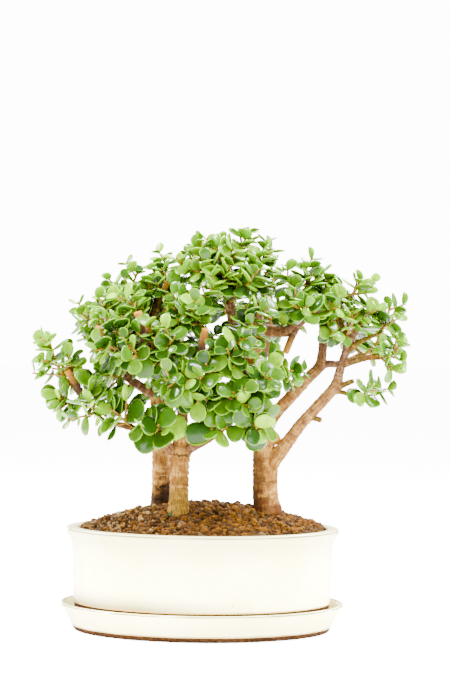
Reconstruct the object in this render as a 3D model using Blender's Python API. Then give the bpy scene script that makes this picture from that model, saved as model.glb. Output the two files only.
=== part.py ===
"""Potted jade plant: a grove of three jade trees in a glazed oval bonsai pot, with its drip tray.

+Z is up, +X runs along the pot, and -Y is the side the grove is seen from. The origin is on the
ground, under the middle of the tray. Blender's metres are used for every mesh; sizes below are in
millimetres and are turned to metres by MM where a mesh is made.
"""

import math
import random

import bpy
from mathutils import Matrix, Vector
from mathutils.bvhtree import BVHTree
from mathutils.geometry import delaunay_2d_cdt

MM = 0.001
GAP = 0.35  # between pieces that rest on or stand in each other
TWIG_GAP = 0.6  # between a woody twig's end and the green stem that goes on from it

# Drip tray, from its unglazed foot to its rim
TRAY_RIM = (137.0, 106.0)  # half length and half width over the rim
TRAY_HEIGHT = 26.5
TRAY_FLOOR = 5.0
TRAY_WALL = 4.6  # at the rim
VESSEL_SIDES = 32  # round the tray, the pot and the soil alike, so that their facets nest

# Pot
POT_RIM = (132.0, 100.0)
POT_TOP = 99.0
POT_BASE = TRAY_FLOOR + GAP
POT_FOOT = 6.0
POT_UNDER = POT_BASE + POT_FOOT  # height of the floor's lower face
POT_FLOOR = POT_UNDER + 7.0  # height of the floor's upper face
DRAIN_X = 58.0
DRAIN_RADIUS = 10.0
DRAIN_SIDES = 12
FOOT_GAP = (96.0, 72.0)  # width of the gaps between the four feet, along X and along Y
FOOT_GAP_TOP = POT_UNDER - 1.2

# Drain guards: slotted plates over the drainage holes, which keep the granules in
GUARD_SIDE = 31.0
GUARD_BAR = 3.2
GUARD_SLOTS = 4
GUARD_THICK = 1.4

# Soil: a mound of baked clay granules
SOIL_INSET = 12.6  # from the rim's outline to the soil's edge, at the top
SOIL_HALF = (POT_RIM[0] - SOIL_INSET, POT_RIM[1] - SOIL_INSET)
SOIL_TAPER = 4.2  # how far the soil's side leans in down to the floor
SOIL_TOE = 4.6  # how far the soil's lowest edge is cut back, inside the fillet of the pot's floor
SOIL_EDGE = 96.5
SOIL_RISE = 23.0
SOIL_RIDGE_Y = 15.0
GRAIN_SPACING = 10.0
GRAIN_RELIEF = 2.2

# Wood: trunks, limbs and twigs. A route point is x, y, z and radius.
TRUNK_SIDES, LIMB_SIDES, BRANCH_SIDES, TWIG_SIDES = 9, 6, 5, 3
BRANCH_RADIUS = 5.0  # limbs that start thinner than this have fewer sides
BURIED = 44.0  # how deep a trunk stands in the soil
TREES = ("front", "back", "right")
TRUNKS = {
    "front": [(-23, -30, 112, 9.6), (-23, -29, 124, 8.6), (-23, -28, 140, 8.2), (-23, -28, 158, 8.9),
              (-23, -28, 168, 9.5), (-22, -28, 177, 7.0)],
    "back": [(-42, 34, 112, 9.8), (-42, 34, 126, 8.8), (-42, 34, 145, 8.2), (-42, 32, 168, 8.0),
             (-43, 30, 190, 7.4), (-46, 28, 213, 5.8), (-50, 28, 236, 4.9), (-57, 25, 266, 4.0),
             (-56, 21, 296, 2.8)],
    "right": [(63, 2, 112, 14.0), (62, 2, 118, 12.6), (60, 2, 135, 11.4), (60, 2, 157, 11.2),
              (58, 2, 178, 9.8), (54, 3, 204, 8.8), (50, 5, 246, 8.2), (49, 6, 270, 8.2),
              (48, 7, 288, 6.6)],
}
LIMBS = {
    "front": [
        [(-22, -28, 168, 7.6), (-22, -28, 179, 7.0), (-21, -31, 196, 5.8), (-20, -30, 217, 5.1),
         (-23, -25, 236, 4.5), (-31, -22, 258, 3.9), (-37, -20, 279, 3.1)],
        [(-25, -28, 168, 5.6), (-33, -33, 177, 5.0), (-42, -39, 184, 4.4), (-55, -45, 191, 3.8),
         (-71, -49, 197, 3.0), (-93, -53, 202, 2.6)],
        [(-21, -28, 168, 5.8), (-13, -31, 176, 4.8), (-4, -37, 181, 4.2), (6, -43, 187, 3.8),
         (18, -49, 198, 3.4), (33, -55, 210, 2.9)],
        [(-20, -30, 214, 4.2), (-9, -44, 227, 3.7), (2, -60, 242, 2.9)],
        [(-27, -24, 246, 3.6), (-41, -38, 258, 3.2), (-54, -52, 270, 2.8)],
    ],
    "back": [
        [(-44, 30, 188, 5.2), (-53, 24, 199, 4.4), (-65, 17, 208, 4.0), (-81, 12, 213, 3.4),
         (-99, 10, 213, 3.0), (-112, 8, 215, 2.8), (-120, 6, 224, 2.5), (-126, 4, 232, 2.3)],
        [(-49, 28, 226, 4.8), (-61, 27, 232, 4.6), (-74, 26, 241, 4.4), (-86, 24, 257, 4.0),
         (-91, 22, 284, 3.2)],
        [(-44, 31, 204, 4.8), (-36, 34, 212, 4.4), (-27, 36, 223, 4.2), (-15, 40, 239, 3.8),
         (-5, 44, 259, 3.2), (-1, 46, 279, 2.6)],
        [(-45, 31, 216, 4.4), (-38, 52, 235, 3.8), (-29, 72, 258, 3.0)],
        [(-54, 26, 252, 3.8), (-66, 40, 263, 3.3), (-80, 54, 276, 2.8)],
    ],
    "right": [
        [(48, 7, 282, 6.6), (51, 10, 307, 5.2), (49, 12, 327, 4.3), (43, 12, 347, 3.2)],
        [(59, 1, 152, 8.0), (67, -2, 163, 7.2), (84, -8, 186, 6.0), (95, -12, 201, 5.6),
         (119, -16, 228, 5.4), (127, -16, 239, 5.2), (130, -16, 252, 4.2), (139, -16, 279, 3.6),
         (151, -16, 301, 2.6)],
        [(136, -16, 270, 2.8), (135, -14, 285, 2.3), (130, -10, 300, 2.0)],
        [(138, -16, 271, 2.8), (146, -19, 278, 2.4), (158, -22, 284, 2.0)],
        [(131, -16, 257, 3.2), (141, -20, 260, 2.9), (154, -24, 264, 2.7), (166, -28, 267, 2.3)],
        [(125, -16, 233, 3.4), (133, -19, 238, 2.8), (142, -23, 242, 2.4)],
        [(122, -15, 231, 2.8), (132, -13, 231, 2.2), (141, -12, 228, 1.9), (151, -10, 226, 1.7)],
        [(97, -12, 204, 4.6), (104, -14, 206, 2.9), (112, -16, 204, 2.6)],
        [(56, 4, 186, 7.6), (67, 10, 206, 6.3), (90, 17, 231, 5.7), (102, 20, 244, 5.5),
         (112, 22, 254, 5.2), (115, 22, 270, 4.2), (115, 22, 288, 3.9), (114, 22, 304, 3.0)],
        [(110, 22, 252, 4.0), (119, 24, 257, 3.6), (129, 28, 257, 3.2), (140, 34, 260, 2.9),
         (154, 42, 267, 2.4)],
        [(49, 6, 284, 6.2), (41, 5, 289, 5.4), (33, 4, 293, 5.0), (26, 2, 302, 4.6), (20, -2, 333, 3.6),
         (12, -4, 345, 2.9)],
        [(51, 6, 284, 6.2), (60, 4, 289, 5.6), (78, -2, 288, 4.9), (87, -4, 293, 4.4), (98, -6, 302, 3.7),
         (126, -10, 317, 2.4)],
        [(82, -3, 289, 4.5), (90, -3, 299, 4.2), (99, -2, 312, 3.4)],
        [(52, 2, 228, 5.0), (47, -14, 238, 4.6), (40, -34, 250, 3.8), (31, -50, 261, 3.0)],
        [(50, 8, 240, 6.0), (54, 24, 252, 5.0), (59, 44, 271, 4.2), (63, 62, 295, 3.0)],
        [(48, 10, 270, 5.0), (40, 26, 286, 4.2), (28, 44, 304, 3.2)],
    ],
}
# Pruned ends that stand bare among the leaves: foot, cut end and radius
STUBS = {
    "front": [((-53, -51, 268), (-63, -53, 305), 3.1), ((-10, -44, 228), (1, -66, 290), 2.8)],
    "back": [((-85, 24, 254), (-103, -14, 290), 2.3), ((-112, 8, 214), (-132, -12, 249), 2.6),
             ((-60, 25, 274), (-37, -8, 334), 2.0), ((-81, 25, 249), (-74, 12, 276), 3.4)],
    "right": [((60, 2, 180), (72, 0, 187), 4.4), ((88, -4, 293), (78, -8, 268), 2.4)],
}

# Leafy sprays, one node each: where the tip of each stands, and how large its leaves are
SPRAYS = {
    "front": [
        (-100, -54, 276, 1.05), (-108, -45, 238, 1.1), (-86, -62, 214, 1.2), (-53, -62, 294, 1.0),
        (-66, -82, 262, 1.05), (-35, -88, 243, 1.1), (-5, -82, 222, 1.15), (-42, -64, 200, 1.3),
        (22, -68, 199, 1.35), (60, -66, 204, 1.3), (28, -88, 232, 1.15), (2, -94, 258, 1.05),
        (36, -82, 284, 1.05), (-28, -78, 282, 1.0), (-2, -60, 312, 1.05), (56, -80, 250, 1.05),
    ],
    "back": [
        (-150, -8, 278, 0.95), (-140, -8, 226, 1.1), (-122, 10, 305, 1.0), (-84, -8, 317, 1.0),
        (-54, 5, 337, 1.0), (-36, 18, 355, 0.95), (-112, 62, 300, 1.0), (-72, 94, 286, 1.0),
        (-22, 102, 294, 1.0), (-50, 62, 330, 1.0), (-104, 46, 244, 1.1), (-44, 88, 246, 1.1),
    ],
    "right": [
        (-9, 0, 370, 0.95), (43, -46, 336, 1.05), (33, 10, 382, 1.0), (64, 3, 368, 1.0),
        (94, -10, 350, 1.0), (50, -60, 308, 1.05), (82, -50, 314, 1.05), (117, -2, 338, 1.0),
        (114, -36, 310, 1.0), (150, -10, 340, 0.95), (178, -6, 314, 1.0), (141, -24, 308, 1.0),
        (186, -34, 278, 1.0), (162, -30, 238, 1.05), (84, -44, 252, 1.05),
        (174, 54, 286, 1.0), (115, 52, 328, 1.0), (78, 94, 300, 1.0), (14, 70, 340, 1.0),
        (66, 62, 344, 1.0), (130, 74, 292, 1.05), (32, 100, 298, 1.05), (14, 90, 256, 1.1),
    ],
}
NEAREST_FOOT, THICKEST_FOOT = 32.0, 8.0  # a twig leaves a limb no nearer its tip, and no thicker
# What counts against a place for a twig's foot, in millimetres of twig: each millimetre of the limb's
# radius, each that the twig hangs down, and each twig that has left nearby. A limb's end counts for it.
RADIUS_COST, HANG_COST, TAKEN_COST, NEARBY, END_GAIN = 3.0, 0.3, 12.0, 6.0, 12.0
TWIG_THICKEST = 2.9
TWIG_SHARE = 0.75  # a twig's radius at its foot, as a share of the limb's
SHORTEST_STEP = 3.0  # along a twig
TWIG_SHIFTS = [Vector()] + [
    Vector((math.cos(turn), math.sin(turn), lift)) * reach
    for reach in (9, 18)
    for lift in (0.0, 0.6)
    for turn in [k * math.pi / 4 for k in range(8)]
]
LEAFY_LENGTH = 36.0  # the part of a spray's twig that carries leaves
LEAFY_SHARE = 0.72  # the most of a short twig that carries leaves
STEM_RADII = (1.75, 1.15)  # at the foot and the tip of a leafy stem
STEM_SIDES = 3
TIP_PAIR = 2.6  # from the tip to the youngest pair
PAIR_STEP = 8.6  # from one pair of leaves to the next
STEM_PAIRS, SIDE_PAIRS = 3, 2  # pairs on a spray's stem and on its side shoot
PAIR_LENGTHS = (15.0, 19.0, 21.5)  # leaf lengths, from the youngest pair down the shoot
PAIR_LEANS = (48.0, 66.0, 78.0)  # angle between leaf and stem, in degrees
SIDE_SHOOT = 18.0  # length of a side shoot
BARE_FOOT = 3.0  # no leaf grows nearer to a shoot's foot
CROWN_CENTRE = Vector((15, 5, 275))
CROWN_LONG = 1.5  # how much longer the crown is than it is wide
CROWN_LOW, CROWN_HIGH = 200.0, 300.0  # the heights between which shoots and leaves turn more upwards
LOW_RISE, HIGH_RISE = 0.1, 0.32  # how far a twig sags on its way, as a share of its span
LOW_LIGHT, HIGH_LIGHT = 0.55, 1.8  # how much of the light that leaves turn to comes from above

# A leaf blade, as shares of its length: along, half width, and height of the rim over the root
LEAF_RIM = ((0.45, 0.38, 0.0), (0.93, 0.27, 0.01))
LEAF_BELLY = (0.56, -0.125)
ROOT_OUT = 0.3  # from the stem's axis to the leaf's root
CLEAR = 0.45  # least gap that a leaf is grown with
# Turn, lean and scale of the tries at finding room for a leaf
LEAF_TRIES = [
    (turn, lean, scale)
    for scale in (1.0, 0.84)
    for lean in (0.0, -0.35, 0.3)
    for turn in (0.0, 0.35, -0.35, 0.7, -0.7)
]

# Finishes: base colour, roughness, clear coat
FINISHES = {
    "cream_glaze": ((0.86, 0.83, 0.72), 0.25, 0.6),
    "clay_granules": ((0.30, 0.14, 0.05), 0.95, 0.0),
    "jade_bark": ((0.42, 0.27, 0.16), 0.85, 0.0),
    "jade_leaf": ((0.13, 0.36, 0.04), 0.35, 0.3),
    "black_plastic": ((0.03, 0.03, 0.03), 0.6, 0.0),
}


def clear_scene():
    for thing in list(bpy.data.objects):
        bpy.data.objects.remove(thing)


def finish_named(name):
    """The Principled material of this name, made once."""
    material = bpy.data.materials.get(name)
    if material:
        return material
    colour, roughness, coat = FINISHES[name]
    material = bpy.data.materials.new(name)
    material.use_nodes = True
    shader = material.node_tree.nodes["Principled BSDF"]
    shader.inputs["Base Color"].default_value = (*colour, 1.0)
    shader.inputs["Roughness"].default_value = roughness
    shader.inputs["Coat Weight"].default_value = coat
    return material


def mesh_object(name, points, faces, finish):
    """One object from points in millimetres."""
    mesh = bpy.data.meshes.new(name)
    mesh.from_pydata([Vector(p) * MM for p in points], [], faces)
    mesh.update()
    made = bpy.data.objects.new(name, mesh)
    bpy.context.scene.collection.objects.link(made)
    mesh.materials.append(finish_named(finish))
    return made


def smooth_shaded(thing, angle=35.0):
    thing.data.shade_smooth()
    thing.data.set_sharp_from_angle(angle=math.radians(angle))


def applied(thing):
    """Replaces the object's mesh by the evaluated one and drops the modifiers."""
    graph = bpy.context.evaluated_depsgraph_get()
    mesh = bpy.data.meshes.new_from_object(thing.evaluated_get(graph))
    thing.modifiers.clear()
    thing.data = mesh
    return thing


def joined(name, pieces, finish):
    """One solid from (points, faces) pieces that overlap, by a Boolean union on a collection."""
    base = mesh_object(name, *pieces[0], finish)
    others = bpy.data.collections.new(name + "_pieces")
    bpy.context.scene.collection.children.link(others)
    for points, faces in pieces[1:]:
        extra = mesh_object("piece", points, faces, finish)
        bpy.context.scene.collection.objects.unlink(extra)
        others.objects.link(extra)
    union = base.modifiers.new("join", "BOOLEAN")
    union.operation = "UNION"
    union.operand_type = "COLLECTION"
    union.collection = others
    applied(base)
    for extra in list(others.objects):
        bpy.data.objects.remove(extra)
    bpy.data.collections.remove(others)
    return base


def cut(thing, cutters):
    """Takes closed cutter objects away from the object, and removes them."""
    for cutter in cutters:
        modifier = thing.modifiers.new("cut", "BOOLEAN")
        modifier.operation = "DIFFERENCE"
        modifier.object = cutter
        cutter.hide_render = True
        cutter.display_type = "WIRE"
    applied(thing)
    for cutter in cutters:
        bpy.data.objects.remove(cutter)
    return thing


def oval_ring(half, inset, height):
    """Points round an oval: half length and half width less an inset, at a height."""
    turns = [2 * math.pi * i / VESSEL_SIDES for i in range(VESSEL_SIDES)]
    return [((half[0] - inset) * math.cos(t), (half[1] - inset) * math.sin(t), height) for t in turns]


def oval_turned(name, half, profile, finish):
    """A vessel whose section runs round an oval. The profile is (inset, height), from the middle of
    the underside outwards, up the outside, over the rim and down to the middle of the floor."""
    count = VESSEL_SIDES
    points = []
    for inset, height in profile:
        points += oval_ring(half, inset, height)
    faces = []
    for ring in range(len(profile) - 1):
        low, high = ring * count, (ring + 1) * count
        for i in range(count):
            j = (i + 1) % count
            faces.append((low + i, low + j, high + j, high + i))
    faces.append(tuple(reversed(range(count))))
    faces.append(tuple(range(len(points) - count, len(points))))
    made = mesh_object(name, points, faces, finish)
    smooth_shaded(made)
    return made


def box(name, low, high):
    points = [(x, y, z) for x in (low[0], high[0]) for y in (low[1], high[1]) for z in (low[2], high[2])]
    faces = [(0, 1, 3, 2), (4, 6, 7, 5), (0, 4, 5, 1), (2, 3, 7, 6), (0, 2, 6, 4), (1, 5, 7, 3)]
    return mesh_object(name, points, faces, "black_plastic")


def frames_along(points):
    """Two side vectors at each point, square to the way and carried along without twist."""
    last = len(points) - 1
    tangents = [(points[min(i + 1, last)] - points[max(i - 1, 0)]).normalized() for i in range(last + 1)]
    side = tangents[0].orthogonal().normalized()
    frames = []
    for tangent in tangents:
        side = (side - tangent * side.dot(tangent)).normalized()
        frames.append((side, tangent.cross(side)))
    return frames


def tube(points, radii, sides):
    """A closed tube along the points, with a radius at each."""
    out, faces = [], []
    for point, radius, (side, up) in zip(points, radii, frames_along(points)):
        for i in range(sides):
            turn = 2 * math.pi * i / sides
            out.append(point + (side * math.cos(turn) + up * math.sin(turn)) * radius)
    for ring in range(len(points) - 1):
        low, high = ring * sides, (ring + 1) * sides
        for i in range(sides):
            j = (i + 1) % sides
            faces.append((low + i, low + j, high + j, high + i))
    faces.append(tuple(reversed(range(sides))))
    faces.append(tuple(range(len(out) - sides, len(out))))
    return out, faces


# The tray and the pot


def build_tray():
    profile = [
        (14.0, 0.0), (13.0, 1.2), (7.5, 13.0), (2.2, 22.0), (0.0, 23.6), (0.0, TRAY_HEIGHT - 1.0),
        (1.0, TRAY_HEIGHT), (TRAY_WALL - 1.0, TRAY_HEIGHT), (TRAY_WALL, TRAY_HEIGHT - 1.2),
        (TRAY_WALL + 2.6, 18.0), (TRAY_WALL + 7.5, 7.4), (TRAY_WALL + 11.0, TRAY_FLOOR),
    ]
    return oval_turned("drip_tray", TRAY_RIM, profile, "cream_glaze")


def build_pot():
    profile = [
        (26.0, POT_UNDER), (25.0, POT_BASE), (17.0, POT_BASE), (15.5, POT_UNDER - 0.5),
        (11.5, POT_UNDER + 2.0), (9.0, POT_UNDER + 9.0), (6.6, 56.0), (6.2, 86.0),
        (2.0, 90.5), (0.0, 93.0), (0.0, POT_TOP - 1.8), (1.8, POT_TOP), (10.2, POT_TOP),
        (SOIL_INSET - 2 * GAP, POT_TOP - 1.8), (SOIL_INSET + SOIL_TAPER - GAP, POT_FLOOR + 3.0),
        (21.0, POT_FLOOR),
    ]
    pot = oval_turned("pot", POT_RIM, profile, "cream_glaze")
    reach = POT_RIM[0] + 10
    cutters = [
        box("gap_x", (-FOOT_GAP[0] / 2, -reach, POT_BASE - 1), (FOOT_GAP[0] / 2, reach, FOOT_GAP_TOP)),
        box("gap_y", (-reach, -FOOT_GAP[1] / 2, POT_BASE - 1), (reach, FOOT_GAP[1] / 2, FOOT_GAP_TOP)),
    ]
    for sign in (-1, 1):
        ends = [Vector((sign * DRAIN_X, 0, z)) for z in (POT_BASE, POT_FLOOR + 2)]
        hole = tube(ends, (DRAIN_RADIUS,) * 2, DRAIN_SIDES)
        cutters.append(mesh_object("drain_hole", *hole, "cream_glaze"))
    cut(pot, cutters)
    smooth_shaded(pot)
    return pot


def build_guard(name, centre_x):
    """A slotted plate over a drainage hole."""
    low = POT_FLOOR + GAP
    top = low + GUARD_THICK
    half = GUARD_SIDE / 2
    reach = half - GUARD_BAR
    plate = box(name, (centre_x - half, -half, low), (centre_x + half, half, top))
    pitch = (GUARD_SIDE - GUARD_BAR) / GUARD_SLOTS
    cutters = []
    for slot in range(GUARD_SLOTS):
        x = centre_x - half + GUARD_BAR + slot * pitch
        cutters.append(box("slot", (x, -reach, low - 1), (x + pitch - GUARD_BAR, reach, top + 1)))
    return cut(plate, cutters)


# The soil


def soil_height(x, y):
    """The mound's height: a dome over the oval, with its ridge behind the middle."""
    run = SOIL_HALF[1] + SOIL_RIDGE_Y if y < SOIL_RIDGE_Y else SOIL_HALF[1] - SOIL_RIDGE_Y
    share = (x / SOIL_HALF[0]) ** 2 + ((y - SOIL_RIDGE_Y) / run) ** 2
    return SOIL_EDGE + SOIL_RISE * max(0.0, 1.0 - share)


def build_soil():
    """The granules show as relief: a spiral of points, each at its own height, netted into facets."""
    half = SOIL_HALF
    count = int(math.pi * half[0] * half[1] / GRAIN_SPACING**2)
    draw = random.Random(7)
    sides = VESSEL_SIDES
    edge = oval_ring(half, 0.0, SOIL_EDGE)
    flat = [Vector((x, y)) for x, y, _ in edge]
    golden = math.pi * (3 - math.sqrt(5))
    for i in range(count):
        out = 0.95 * math.sqrt((i + 0.5) / count)
        flat.append(Vector((half[0] * out * math.cos(i * golden), half[1] * out * math.sin(i * golden))))
    net = delaunay_2d_cdt(flat, [], [list(range(sides))], 1, 1e-6)
    points = [(x, y, SOIL_EDGE) for x, y in net[0][:sides]]
    points += [
        (x, y, soil_height(x, y) + draw.uniform(-GRAIN_RELIEF, GRAIN_RELIEF)) for x, y in net[0][sides:]
    ]
    faces = [tuple(face) for face in net[2]]
    floor = len(points)
    points += oval_ring(half, SOIL_TAPER, POT_FLOOR + 3.4)
    points += oval_ring(half, SOIL_TAPER + SOIL_TOE, POT_FLOOR + GAP)
    for i in range(sides):
        j = (i + 1) % sides
        faces.append((floor + i, floor + j, j, i))
        faces.append((floor + sides + i, floor + sides + j, floor + j, floor + i))
    faces.append(tuple(reversed(range(floor + sides, floor + 2 * sides))))
    soil = mesh_object("soil", points, faces, "clay_granules")
    cutters = []
    for route in TRUNKS.values():
        x, y, z, radius = route[0]
        ends = [Vector((x, y, z - BURIED - GAP)), Vector((x, y, z + 20))]
        hole = tube(ends, ((radius + GAP) / math.cos(math.pi / TRUNK_SIDES) ** 0.5,) * 2, TRUNK_SIDES)
        cutters.append(mesh_object("trunk_hole", *hole, "clay_granules"))
    room = GUARD_SIDE / 2 + GAP
    for sign in (-1, 1):
        middle = sign * DRAIN_X
        top = POT_FLOOR + GUARD_THICK + 2 * GAP
        cutters.append(box("guard_room", (middle - room, -room, POT_FLOOR - 1), (middle + room, room, top)))
    return cut(soil, cutters)


# The wood, and where the sprays grow


class Placed:
    """Meshes already in place, so that what comes next can be bent clear of them."""

    def __init__(self):
        self.items = []

    def add(self, label, points, faces):
        self.items.append((label, *self.ball(points), BVHTree.FromPolygons(points, faces)))

    @staticmethod
    def ball(points):
        centre = sum(points, Vector()) / len(points)
        return centre, max((p - centre).length for p in points)

    def is_clear(self, points, faces, own=()):
        centre, reach = self.ball(points)
        tree = None
        for label, other_centre, other_reach, other in self.items:
            if label in own or (other_centre - centre).length > reach + other_reach:
                continue
            tree = tree or BVHTree.FromPolygons(points, faces)
            if tree.overlap(other):
                return False
        return True


def route_of(rows):
    return [Vector(row[:3]) for row in rows], [row[3] for row in rows]


def bowed(start, bend, end, count):
    """Points along a quadratic curve from start to end, pulled towards bend."""
    shares = [i / (count - 1) for i in range(count)]
    return [start * (1 - t) ** 2 + bend * (2 * t * (1 - t)) + end * t**2 for t in shares]


def tapered(start, end, count):
    return [start + (end - start) * i / (count - 1) for i in range(count)]


def length_of(points):
    return sum((b - a).length for a, b in zip(points, points[1:]))


def point_back_from_end(points, distance):
    """The point that lies this far along the route from its end, and the index after it."""
    for i in range(len(points) - 1, 0, -1):
        step = (points[i] - points[i - 1]).length
        if step >= distance:
            return points[i].lerp(points[i - 1], distance / step), i
        distance -= step
    return points[0].copy(), 1


def split_route(points, leafy):
    """The bare foot of a twig's route, and its leafy end, which starts a gap further on."""
    at, index = point_back_from_end(points, leafy)
    foot, end = points[:index] + [at], [at] + points[index:]
    if len(foot) > 2 and (foot[-1] - foot[-2]).length < SHORTEST_STEP:
        foot.pop(-2)
    if len(end) > 2 and (end[1] - end[0]).length < SHORTEST_STEP:
        end.pop(1)
    end[0] = end[0] + (end[1] - end[0]).normalized() * TWIG_GAP
    return foot, end


def where_it_leaves(tree, tip, taken):
    """The place on the tree's limbs that a twig to this tip grows from, with the limb's direction and
    radius there. A twig leaves forwards, from a thin limb sooner than from a trunk, best of all from a
    limb's end, and not where another twig has left."""
    best = None
    for rows in [TRUNKS[tree]] + LIMBS[tree]:
        points, radii = route_of(rows)
        for i in range(1, len(points)):
            for share in (0.5, 1.0):
                at = points[i - 1].lerp(points[i], share)
                radius = radii[i - 1] + (radii[i] - radii[i - 1]) * share
                along = (points[i] - points[i - 1]).normalized()
                way = tip - at
                if way.length < NEAREST_FOOT or radius > THICKEST_FOOT:
                    continue
                cost = way.length * (1.5 - 0.5 * along.dot(way.normalized())) + RADIUS_COST * radius
                cost += HANG_COST * max(0.0, at.z - tip.z)
                cost += sum(TAKEN_COST for other in taken if (other - at).length < NEARBY)
                if i == len(points) - 1 and share == 1.0:
                    cost -= END_GAIN
                if best is None or cost < best[0]:
                    best = (cost, at, along, radius)
    taken.append(best[1])
    return best[1:]


def height_share(point):
    """From 0 at the crown's lowest leaves to 1 near its top."""
    return min(max((point.z - CROWN_LOW) / (CROWN_HIGH - CROWN_LOW), 0.0), 1.0)


def place_twig(placed, tree, name, tip, taken):
    """Bends a twig clear of what stands, and returns its bare foot and its leafy end. It sets out along
    its limb and below its tip, and then turns up to it, most of all high in the crown."""
    at, along, radius = where_it_leaves(tree, tip, taken)
    span = (tip - at).length
    start_radius = min(radius * TWIG_SHARE, TWIG_THICKEST)
    rise = LOW_RISE + (HIGH_RISE - LOW_RISE) * height_share(tip)
    middle = at + along * (0.28 * span) + (tip - at) * 0.3 - Vector((0, 0, rise * span))
    for shift in TWIG_SHIFTS:
        leafy = min(LEAFY_LENGTH, LEAFY_SHARE * span)
        foot, end = split_route(bowed(at, middle + shift, tip, 4), leafy)
        foot_radii = tapered(start_radius, STEM_RADII[0], len(foot))
        end_radii = tapered(*STEM_RADII, len(end))
        wood = tube(foot, [r + GAP for r in foot_radii], TWIG_SIDES)
        green = tube(end, [r + GAP for r in end_radii], STEM_SIDES)
        if placed.is_clear(*wood, own=("wood_" + tree,)) and placed.is_clear(*green):
            placed.add("wood_" + tree, *tube(foot, foot_radii, TWIG_SIDES))
            placed.add(name, *tube(end, end_radii, STEM_SIDES))
            return (foot, foot_radii), (end, end_radii)
    raise ValueError("no clear way for " + name)


def leaf(root, along, face, length, grown=0.0):
    """A thick jade leaf as a closed blade: a flat upper face inside its rim, and a belly that comes to
    one point. grown makes it larger all round, for finding room."""
    across = face.cross(along).normalized()

    def place(share, width, height):
        return root + along * (share * length) + across * (width * length) + face * (height * length)

    swell = grown / length
    (near, near_width, near_up), (far, far_width, far_up) = LEAF_RIM
    points = [
        place(0.0, 0.0, 0.0),
        place(near, near_width + swell, near_up + swell),
        place(far + swell, far_width + swell, far_up + swell),
        place(far + swell, -far_width - swell, far_up + swell),
        place(near, -near_width - swell, near_up + swell),
        place(LEAF_BELLY[0], 0.0, LEAF_BELLY[1] - swell),
    ]
    faces = [(0, 4, 1), (1, 4, 3, 2)]
    faces += [(i, (i + 1) % 5, 5) for i in range(5)]
    return points, faces


def leaf_pose(at, along_stem, turn, lean, light_share):
    """The direction of a leaf that leaves the stem at this turn and lean, and the way its face looks:
    towards the stem's tip, turned to the light above and outside the crown."""
    out = Matrix.Rotation(turn, 3, along_stem) @ along_stem.orthogonal().normalized()
    along = (along_stem * math.cos(lean) + out * math.sin(lean)).normalized()
    outward = at - CROWN_CENTRE
    outward.x /= CROWN_LONG
    up = LOW_LIGHT + (HIGH_LIGHT - LOW_LIGHT) * height_share(at)
    light = (outward.normalized() + Vector((0, 0, up))).normalized()
    face = (along_stem - out * 0.2) * (1 - light_share) + light * light_share
    face = face - along * face.dot(along)
    if face.length < 0.15:
        face = along_stem - along * along_stem.dot(along)
    return along, face.normalized()


def side_shoot(end, size, draw):
    """A short shoot that leaves the leafy stem low down, outwards and a little upwards."""
    points, radii = end
    along = (points[1] - points[0]).normalized()
    foot = points[0].lerp(points[1], 0.6)
    turn = draw.uniform(0, 2 * math.pi)
    out = Matrix.Rotation(turn, 3, along) @ along.orthogonal().normalized()
    way = (along * 0.6 + out + Vector((0, 0, 0.35))).normalized()
    return [foot, foot + way * SIDE_SHOOT * size], [radii[0] * 0.8, 1.0]


def find_room(placed, label, at, along_stem, turn, lean, light, length):
    """The first of the tries at a leaf that meets nothing, as a blade, or None."""
    for turn_by, lean_by, scale in LEAF_TRIES:
        along, face = leaf_pose(at, along_stem, turn + turn_by, lean + lean_by, light)
        root = at + along * ROOT_OUT
        if placed.is_clear(*leaf(root, along, face, length * scale, CLEAR), own=(label,)):
            return leaf(root, along, face, length * scale)
    return None


def grow_leaves(sprays, placed):
    """Pairs of leaves along each shoot, each pair a quarter turn from the last, all the youngest pairs
    first. A leaf that meets another is turned and shortened, and left out where that doesn't help."""
    shoots = []
    for number, spray in enumerate(sprays):
        draw = random.Random(1000 + number)
        points, radii = spray["end"]
        spray["pieces"] = [tube(points, radii, STEM_SIDES)]
        shoots.append((spray, spray["name"], points, STEM_PAIRS, draw.uniform(0, math.pi), draw))
        points, radii = side_shoot(spray["end"], spray["size"], draw)
        label = spray["name"] + "_side"
        if placed.is_clear(*tube(points, [r + GAP for r in radii], STEM_SIDES), own=(spray["name"],)):
            placed.add(label, *tube(points, radii, STEM_SIDES))
            spray["pieces"].append(tube(points, radii, STEM_SIDES))
            shoots.append((spray, label, points, SIDE_PAIRS, draw.uniform(0, math.pi), draw))
    for pair in range(STEM_PAIRS):
        back = TIP_PAIR + pair * PAIR_STEP
        for spray, label, points, pairs, start_turn, draw in shoots:
            if pair >= pairs or back > length_of(points) - BARE_FOOT:
                continue
            at, index = point_back_from_end(points, back)
            along_stem = (points[index] - points[index - 1]).normalized()
            for opposite in (0, math.pi):
                length = PAIR_LENGTHS[pair] * spray["size"] * draw.uniform(0.88, 1.14)
                lean = math.radians(PAIR_LEANS[pair] + draw.uniform(-9, 9))
                turn = start_turn + pair * math.pi / 2 + opposite + draw.uniform(-0.2, 0.2)
                light = draw.uniform(0.35, 0.75)
                blade = find_room(placed, label, at, along_stem, turn, lean, light, length)
                if blade:
                    placed.add(spray["name"] + "_leaf", *blade)
                    spray["pieces"].append(blade)


def bare_wood(tree):
    """The routes of a tree's trunk, limbs and pruned ends, each with its radii and number of sides."""
    x, y, z, radius = TRUNKS[tree][0]
    trunk, radii = route_of(TRUNKS[tree])
    parts = [([Vector((x, y, z - BURIED))] + trunk, [radius] + radii, TRUNK_SIDES)]
    for rows in LIMBS[tree]:
        parts.append((*route_of(rows), LIMB_SIDES if rows[0][3] > BRANCH_RADIUS else BRANCH_SIDES))
    for foot, end, radius in STUBS[tree]:
        parts.append(([Vector(foot), Vector(end)], [radius * 1.15, radius], BRANCH_SIDES))
    return parts


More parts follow.
